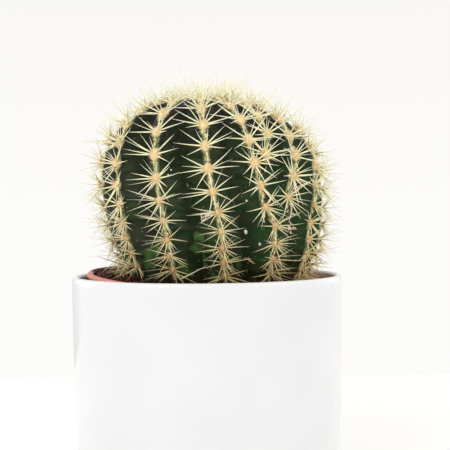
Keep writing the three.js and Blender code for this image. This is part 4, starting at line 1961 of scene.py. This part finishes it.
@dataclass
class Soil:
    """The potting soil: it fills the nursery pot round a hollow for the stem and its root."""

    pot: NurseryPot
    outline: Outline
    pattern: RibPattern
    below_rim: float = 3.8
    gap: float = 0.4
    shoulder_drop: float = 2.0
    shoulder_width: float = 1.0
    edge_drop: float = 1.5
    throat: float = 5.0
    mound: float = 4.2
    mound_at_rim: float = 0.7
    mound_bearing: float = 168.0
    mound_spread: float = 40.0
    relief: float = 3.0
    grain: float = 5.0
    quiet_edge: int = 8
    rings: int = 30
    hollow_from: float = 0.01
    hollow_rings: int = 12
    halvings: int = 20
    columns_per_rib: int = 14
    crumb_least: tuple[float, float, float] = (0.5, 0.4, 0.3)
    crumb_most: tuple[float, float, float] = (1.7, 1.0, 0.6)
    crumb_relief: float = 0.6
    crumb_size: float = 1.5
    crumbs_per_mm2: float = 0.3
    chip_size: float = 4.2
    chips_per_mm2: float = 0.025
    seed: int = 11

    def level(self) -> float:
        """Gives the height of the soil's flat top above the nursery pot's base."""
        return self.pot.height - self.below_rim

    def hollow(self, number: int, share: float, at: float, to_pot: Matrix) -> Vector:
        """Gives a point of the hollow, a little outside the stem.

        Args:
            number: The rib's number.
            share: How far it is from that rib's crest to the next.
            at: The outline's share, from the buried end.
            to_pot: The turn and move from the stem's frame to the nursery pot's.

        Returns:
            The point, in the nursery pot's frame.
        """
        radius, rise = self.outline.at(at)
        reach, bearing = self.pattern.surface(number, share, radius, rise)
        return to_pot @ self.outline.point(reach + self.gap, bearing, rise)

    def shoreline(self, number: int, share: float, to_pot: Matrix) -> float:
        """Finds how far up the outline the stem leaves the soil.

        Args:
            number: The rib's number.
            share: How far it is from that rib's crest to the next.
            to_pot: The turn and move from the stem's frame to the nursery pot's.

        Returns:
            The outline's share there.
        """
        low, high = self.hollow_from, 0.5
        for _ in range(self.halvings):
            middle = (low + high) / 2
            if self.hollow(number, share, middle, to_pot).z < self.level():
                low = middle
            else:
                high = middle
        return low

    def column(self, number: int, share: float, to_pot: Matrix) -> list[tuple[Vector, float]]:
        """Lists one column of the soil's skin, from its floor outwards, over the top and down.

        Args:
            number: The rib's number.
            share: How far it is from that rib's crest to the next.
            to_pot: The turn and move from the stem's frame to the nursery pot's.

        Returns:
            Points in the nursery pot's frame, and how lumpy each may be, from 0 to 1.
        """
        inset = self.pot.wall + self.gap
        shoulder = self.pot.height - self.pot.collar - self.shoulder_drop
        shore = self.shoreline(number, share, to_pot)
        edge = self.hollow(number, share, shore, to_pot)
        turn = math.atan2(edge.y, edge.x)
        out = outwards(turn)
        off_mound = (math.degrees(turn) - self.mound_bearing + 540) % 360 - 180
        heap = self.mound * math.exp(-((off_mound / self.mound_spread) ** 2))
        inner = self.pot.wall_radius(shoulder) - inset
        edge_radius = inner + self.shoulder_width
        skin = [
            (out * (self.pot.wall_radius(inset) - inset) + Vector((0, 0, inset)), 0.0),
            (out * inner + Vector((0, 0, shoulder)), 0.0),
            (out * edge_radius + Vector((0, 0, self.level() - self.edge_drop)), 0.0),
        ]
        rim = out * edge_radius + Vector((0, 0, self.level()))
        for k in range(self.rings):
            inwards = k / self.rings
            raised = heap * min(1, self.mound_at_rim + inwards) * (1 - inwards**3)
            lumpy = 1 - abs(2 * inwards - 1) ** self.quiet_edge
            skin.append((rim.lerp(edge, inwards) + Vector((0, 0, raised)), lumpy))
        for k in range(self.hollow_rings):
            at = shore + (self.hollow_from - shore) * k / self.hollow_rings
            skin.append((self.hollow(number, share, at, to_pot), 0.0))
        for rise in (self.outline.root_top - self.throat, self.outline.root_tip):
            radius = self.outline.root_at(rise) + self.gap
            reach, bearing = self.pattern.surface(number, share, radius, rise)
            skin.append((to_pot @ self.outline.point(reach, bearing, rise), 0.0))
        return skin

    def plug(self) -> Thing:
        """Builds the soil before its lumps are raised.

        Returns:
            The soil, with the attributes loose, 1 where its top may be lumpy, and tone.
        """
        to_pot = self.pot.matrix().inverted() @ self.outline.matrix()
        columns = [
            self.column(number, c / self.columns_per_rib, to_pot)
            for number in range(len(self.pattern.ribs))
            for c in range(self.columns_per_rib)
        ]
        rings = list(zip(*columns))
        tip = to_pot @ self.outline.point(0, 0, self.outline.root_tip - self.gap)
        skin = [pair for ring in rings for pair in ring]
        points = [Vector((0, 0, self.pot.wall + self.gap)), *[point for point, _ in skin], tip]
        faces = skin_faces(len(rings), len(columns))
        soil = mesh_object("potting_soil_top", points, faces)
        store(soil, loose=[0.0, *[lumpy for _, lumpy in skin], 0.0], tone=[0.0] * len(points))
        return soil

    def scattered(self, tree: Tree, top: Node, given: Inputs, kind: str, faces: int) -> Node:
        """Adds crumbs that lie on the soil, each with its own turn, size and tone.

        Args:
            tree: The geometry tree.
            top: The soil's surface.
            given: Its inputs, with this kind's density and size, for metres.
            kind: What they are called in the inputs' names.
            faces: How finely each is divided.

        Returns:
            The crumbs.
        """
        density, size, seed = given[f"{kind} density"], given[f"{kind} size"], given["Seed"]
        loose = add_node(tree, "GeometryNodeInputNamedAttribute", Name="loose")
        open_top = add_node(tree, "ShaderNodeMath", loose, 0.5, operation="GREATER_THAN")
        amount = {"Selection": open_top, "Density": density, "Seed": seed}
        spots = add_node(tree, "GeometryNodeDistributePointsOnFaces", top, **amount)
        tone = add_node(tree, "FunctionNodeRandomValue", data_type="FLOAT", Seed=seed)
        spots = add_node(tree, "GeometryNodeStoreNamedAttribute", spots, Name="tone", Value=tone)
        drawn = {"data_type": "FLOAT_VECTOR", "Seed": seed}
        turn = add_node(tree, "FunctionNodeRandomValue", Max=(FULL_TURN,) * 3, **drawn)
        turn = add_node(tree, "FunctionNodeEulerToRotation", turn)
        limits = {"Min": self.crumb_least, "Max": self.crumb_most}
        span = add_node(tree, "FunctionNodeRandomValue", **limits, **drawn)
        span = add_node(tree, "ShaderNodeVectorMath", span, Scale=size, operation="SCALE")
        crumb = add_node(tree, "GeometryNodeMeshIcoSphere", Radius=0.5, Subdivisions=faces)
        crumbs = copies(tree, spots, crumb, turn, span)
        finer = add_node(tree, "ShaderNodeMath", size, self.crumb_relief, operation="MULTIPLY")
        return swollen(tree, crumbs, unevenness(tree, finer, finer, 2.0))

    def rule(self, tree: Tree, given: Inputs) -> Node:
        """Adds the nodes that raise the soil's lumps and scatter crumbs and chips.

        Args:
            tree: The geometry tree.
            given: Its inputs, for the lumps and the size and density of crumbs and chips.

        Returns:
            The soil with all that lies on it.
        """
        height = unevenness(tree, given["Grain"], given["Relief"], 4.0)
        loose = add_node(tree, "GeometryNodeInputNamedAttribute", Name="loose")
        raised = add_node(tree, "ShaderNodeMath", height, loose, operation="MULTIPLY")
        offset = add_node(tree, "ShaderNodeCombineXYZ", Z=raised)
        top = add_node(tree, "GeometryNodeSetPosition", given["Geometry"], Offset=offset)
        crumbs = self.scattered(tree, top, given, "Crumb", 1)
        chips = self.scattered(tree, top, given, "Chip", 2)
        return add_node(tree, "GeometryNodeJoinGeometry", [top, crumbs, chips])

    def build(self, finish: MoistPeat) -> Thing:
        """Builds the soil and dresses it.

        Args:
            finish: The soil's finish.

        Returns:
            The finished soil.
        """
        soil = self.plug()
        sizes = {
            "Relief": self.relief * MM,
            "Grain": self.grain * MM,
            "Crumb size": self.crumb_size * MM,
            "Crumb density": self.crumbs_per_mm2 / MM**2,
            "Chip size": self.chip_size * MM,
            "Chip density": self.chips_per_mm2 / MM**2,
            "Seed": self.seed,
        }
        grown(soil, self.rule, sizes, finish)
        return settle(soil, self.pot.matrix(), "potting_soil")


# ------------------------------------------------------------------ studio


@dataclass
class Camera:
    """The photograph's view: level, a little above the rim, and turned slightly on its axis."""

    spot: Vector = field(default_factory=lambda: Vector((9.3, -425.0, 145.6)))
    lens: float = 65.0
    sensor: float = 36.0
    roll: float = 0.47
    clip_start: float = 10.0

    def place(self) -> None:
        """Puts the camera in the scene."""
        data = bpy.data.cameras.new("camera")
        data.lens = self.lens
        data.sensor_width = self.sensor
        data.clip_start = self.clip_start * MM
        camera = bpy.data.objects.new("camera", data)
        turn = math.radians(self.roll)
        right = Vector((math.cos(turn), 0, -math.sin(turn)))
        up = Vector((math.sin(turn), 0, math.cos(turn)))
        matrix = basis(right, up, right.cross(up)).to_4x4()
        matrix.translation = self.spot * MM
        camera.matrix_world = matrix
        bpy.context.scene.collection.objects.link(camera)
        bpy.context.scene.camera = camera


@dataclass(frozen=True)
class Lamp:
    """One soft square lamp that faces the plant, with its power in watts."""

    name: str
    spot: tuple[float, float, float]
    power: float
    side: float = 500.0
    aim: tuple[float, float, float] = (0.0, 0.0, 140.0)

    def hang(self) -> None:
        """Hangs the lamp."""
        data = bpy.data.lights.new(self.name, "AREA")
        data.size = self.side * MM
        data.energy = self.power
        light = bpy.data.objects.new(self.name, data)
        way = Vector(self.aim) - Vector(self.spot)
        light.rotation_euler = way.to_track_quat("-Z", "Y").to_euler()
        light.location = Vector(self.spot) * MM
        light.visible_camera = False
        bpy.context.scene.collection.objects.link(light)


@dataclass
class Studio:
    """A plain pale table in a pale room, two soft lamps in front and two behind.

    The room's tones lie by direction: high over the upward part, dim over what is both left
    of and behind the plant, between the two pairs of limits.
    """

    table_back: float = 358.0
    table_reach: float = 3000.0
    table_colour: str = "#fafaf9"
    table_roughness: float = 0.6
    room_colour: str = "#fefdfb"
    high: Tint = Tint("#f8f6f2", 0.0, 0.4)
    dim: Tint = Tint("#dbdad9")
    dim_left: tuple[float, float] = (-0.32, -0.42)
    dim_behind: tuple[float, float] = (0.55, 0.75)
    room_strength: float = 0.99
    lamps: tuple[Lamp, ...] = (
        Lamp("window", (-420, -520, 620), 1.7),
        Lamp("fill", (560, -260, 420), 0.6),
        Lamp("rim_left", (-560, 330, 330), 0.5),
        Lamp("rim_right", (560, 330, 330), 0.4),
    )

    def build(self) -> None:
        """Lays the table and sets the lights."""
        reach, back = self.table_reach, self.table_back
        corners = [(-reach, -reach, 0), (reach, -reach, 0), (reach, back, 0), (-reach, back, 0)]
        table = mesh_object("floor", [Vector(c) for c in corners], [(0, 1, 2, 3)])
        material = bpy.data.materials.new("matt_white_table")
        material.use_nodes = True
        shader = material.node_tree.nodes["Principled BSDF"]
        shader.inputs["Base Color"].default_value = linear(self.table_colour)
        shader.inputs["Roughness"].default_value = self.table_roughness
        table.data.materials.append(material)
        self.room()
        for lamp in self.lamps:
            lamp.hang()

    def room(self) -> None:
        """Makes the pale room, dimmer on the left behind the plant, where the glaze mirrors it."""
        world = bpy.data.worlds.new("pale_room")
        world.use_nodes = True
        tree = world.node_tree
        tree.nodes.clear()
        way = add_node(tree, "ShaderNodeTexCoord").outputs["Generated"]
        parts = add_node(tree, "ShaderNodeSeparateXYZ", way).outputs
        left = add_node(tree, "ShaderNodeMapRange", parts["X"], *self.dim_left)
        behind = add_node(tree, "ShaderNodeMapRange", parts["Y"], *self.dim_behind)
        dim = add_node(tree, "ShaderNodeMath", left, behind, operation="MULTIPLY")
        tone = tinted(tree, self.room_colour, parts["Z"], self.high)
        tone = tinted(tree, tone, dim, self.dim)
        light = add_node(tree, "ShaderNodeBackground", tone, self.room_strength)
        add_node(tree, "ShaderNodeOutputWorld", light)
        bpy.context.scene.world = world


# ------------------------------------------------------------------ assembly


def main() -> None:
    """Builds the potted cactus, piece by piece, and the studio round it."""
    logging.basicConfig(level=logging.INFO, format="%(name)s: %(message)s")
    bpy.context.scene.view_settings.view_transform = "Standard"
    Camera().place()
    Studio().build()

    OuterPot().build(GlazedCeramic())
    nursery = NurseryPot()
    nursery.build(MouldedPolypropylene())

    draws = random.Random(SEED)
    outline = Outline()
    pattern = RibPattern(draws)
    rows = AreoleRows(outline, pattern)
    areoles = rows.all()
    LOG.info("%d ribs carry %d areoles", len(pattern.ribs), len(areoles))
    Stem(outline, pattern).build(rows.seats(), CactusSkin())
    Wool(outline, draws).build(areoles, AreoleFelt())
    Spines(outline, rows, draws).build(areoles, SpineHorn())
    Litter(outline, pattern, draws).build(DryScrap())
    Soil(nursery, outline, pattern).build(MoistPeat())


if __name__ == "__main__":
    main()
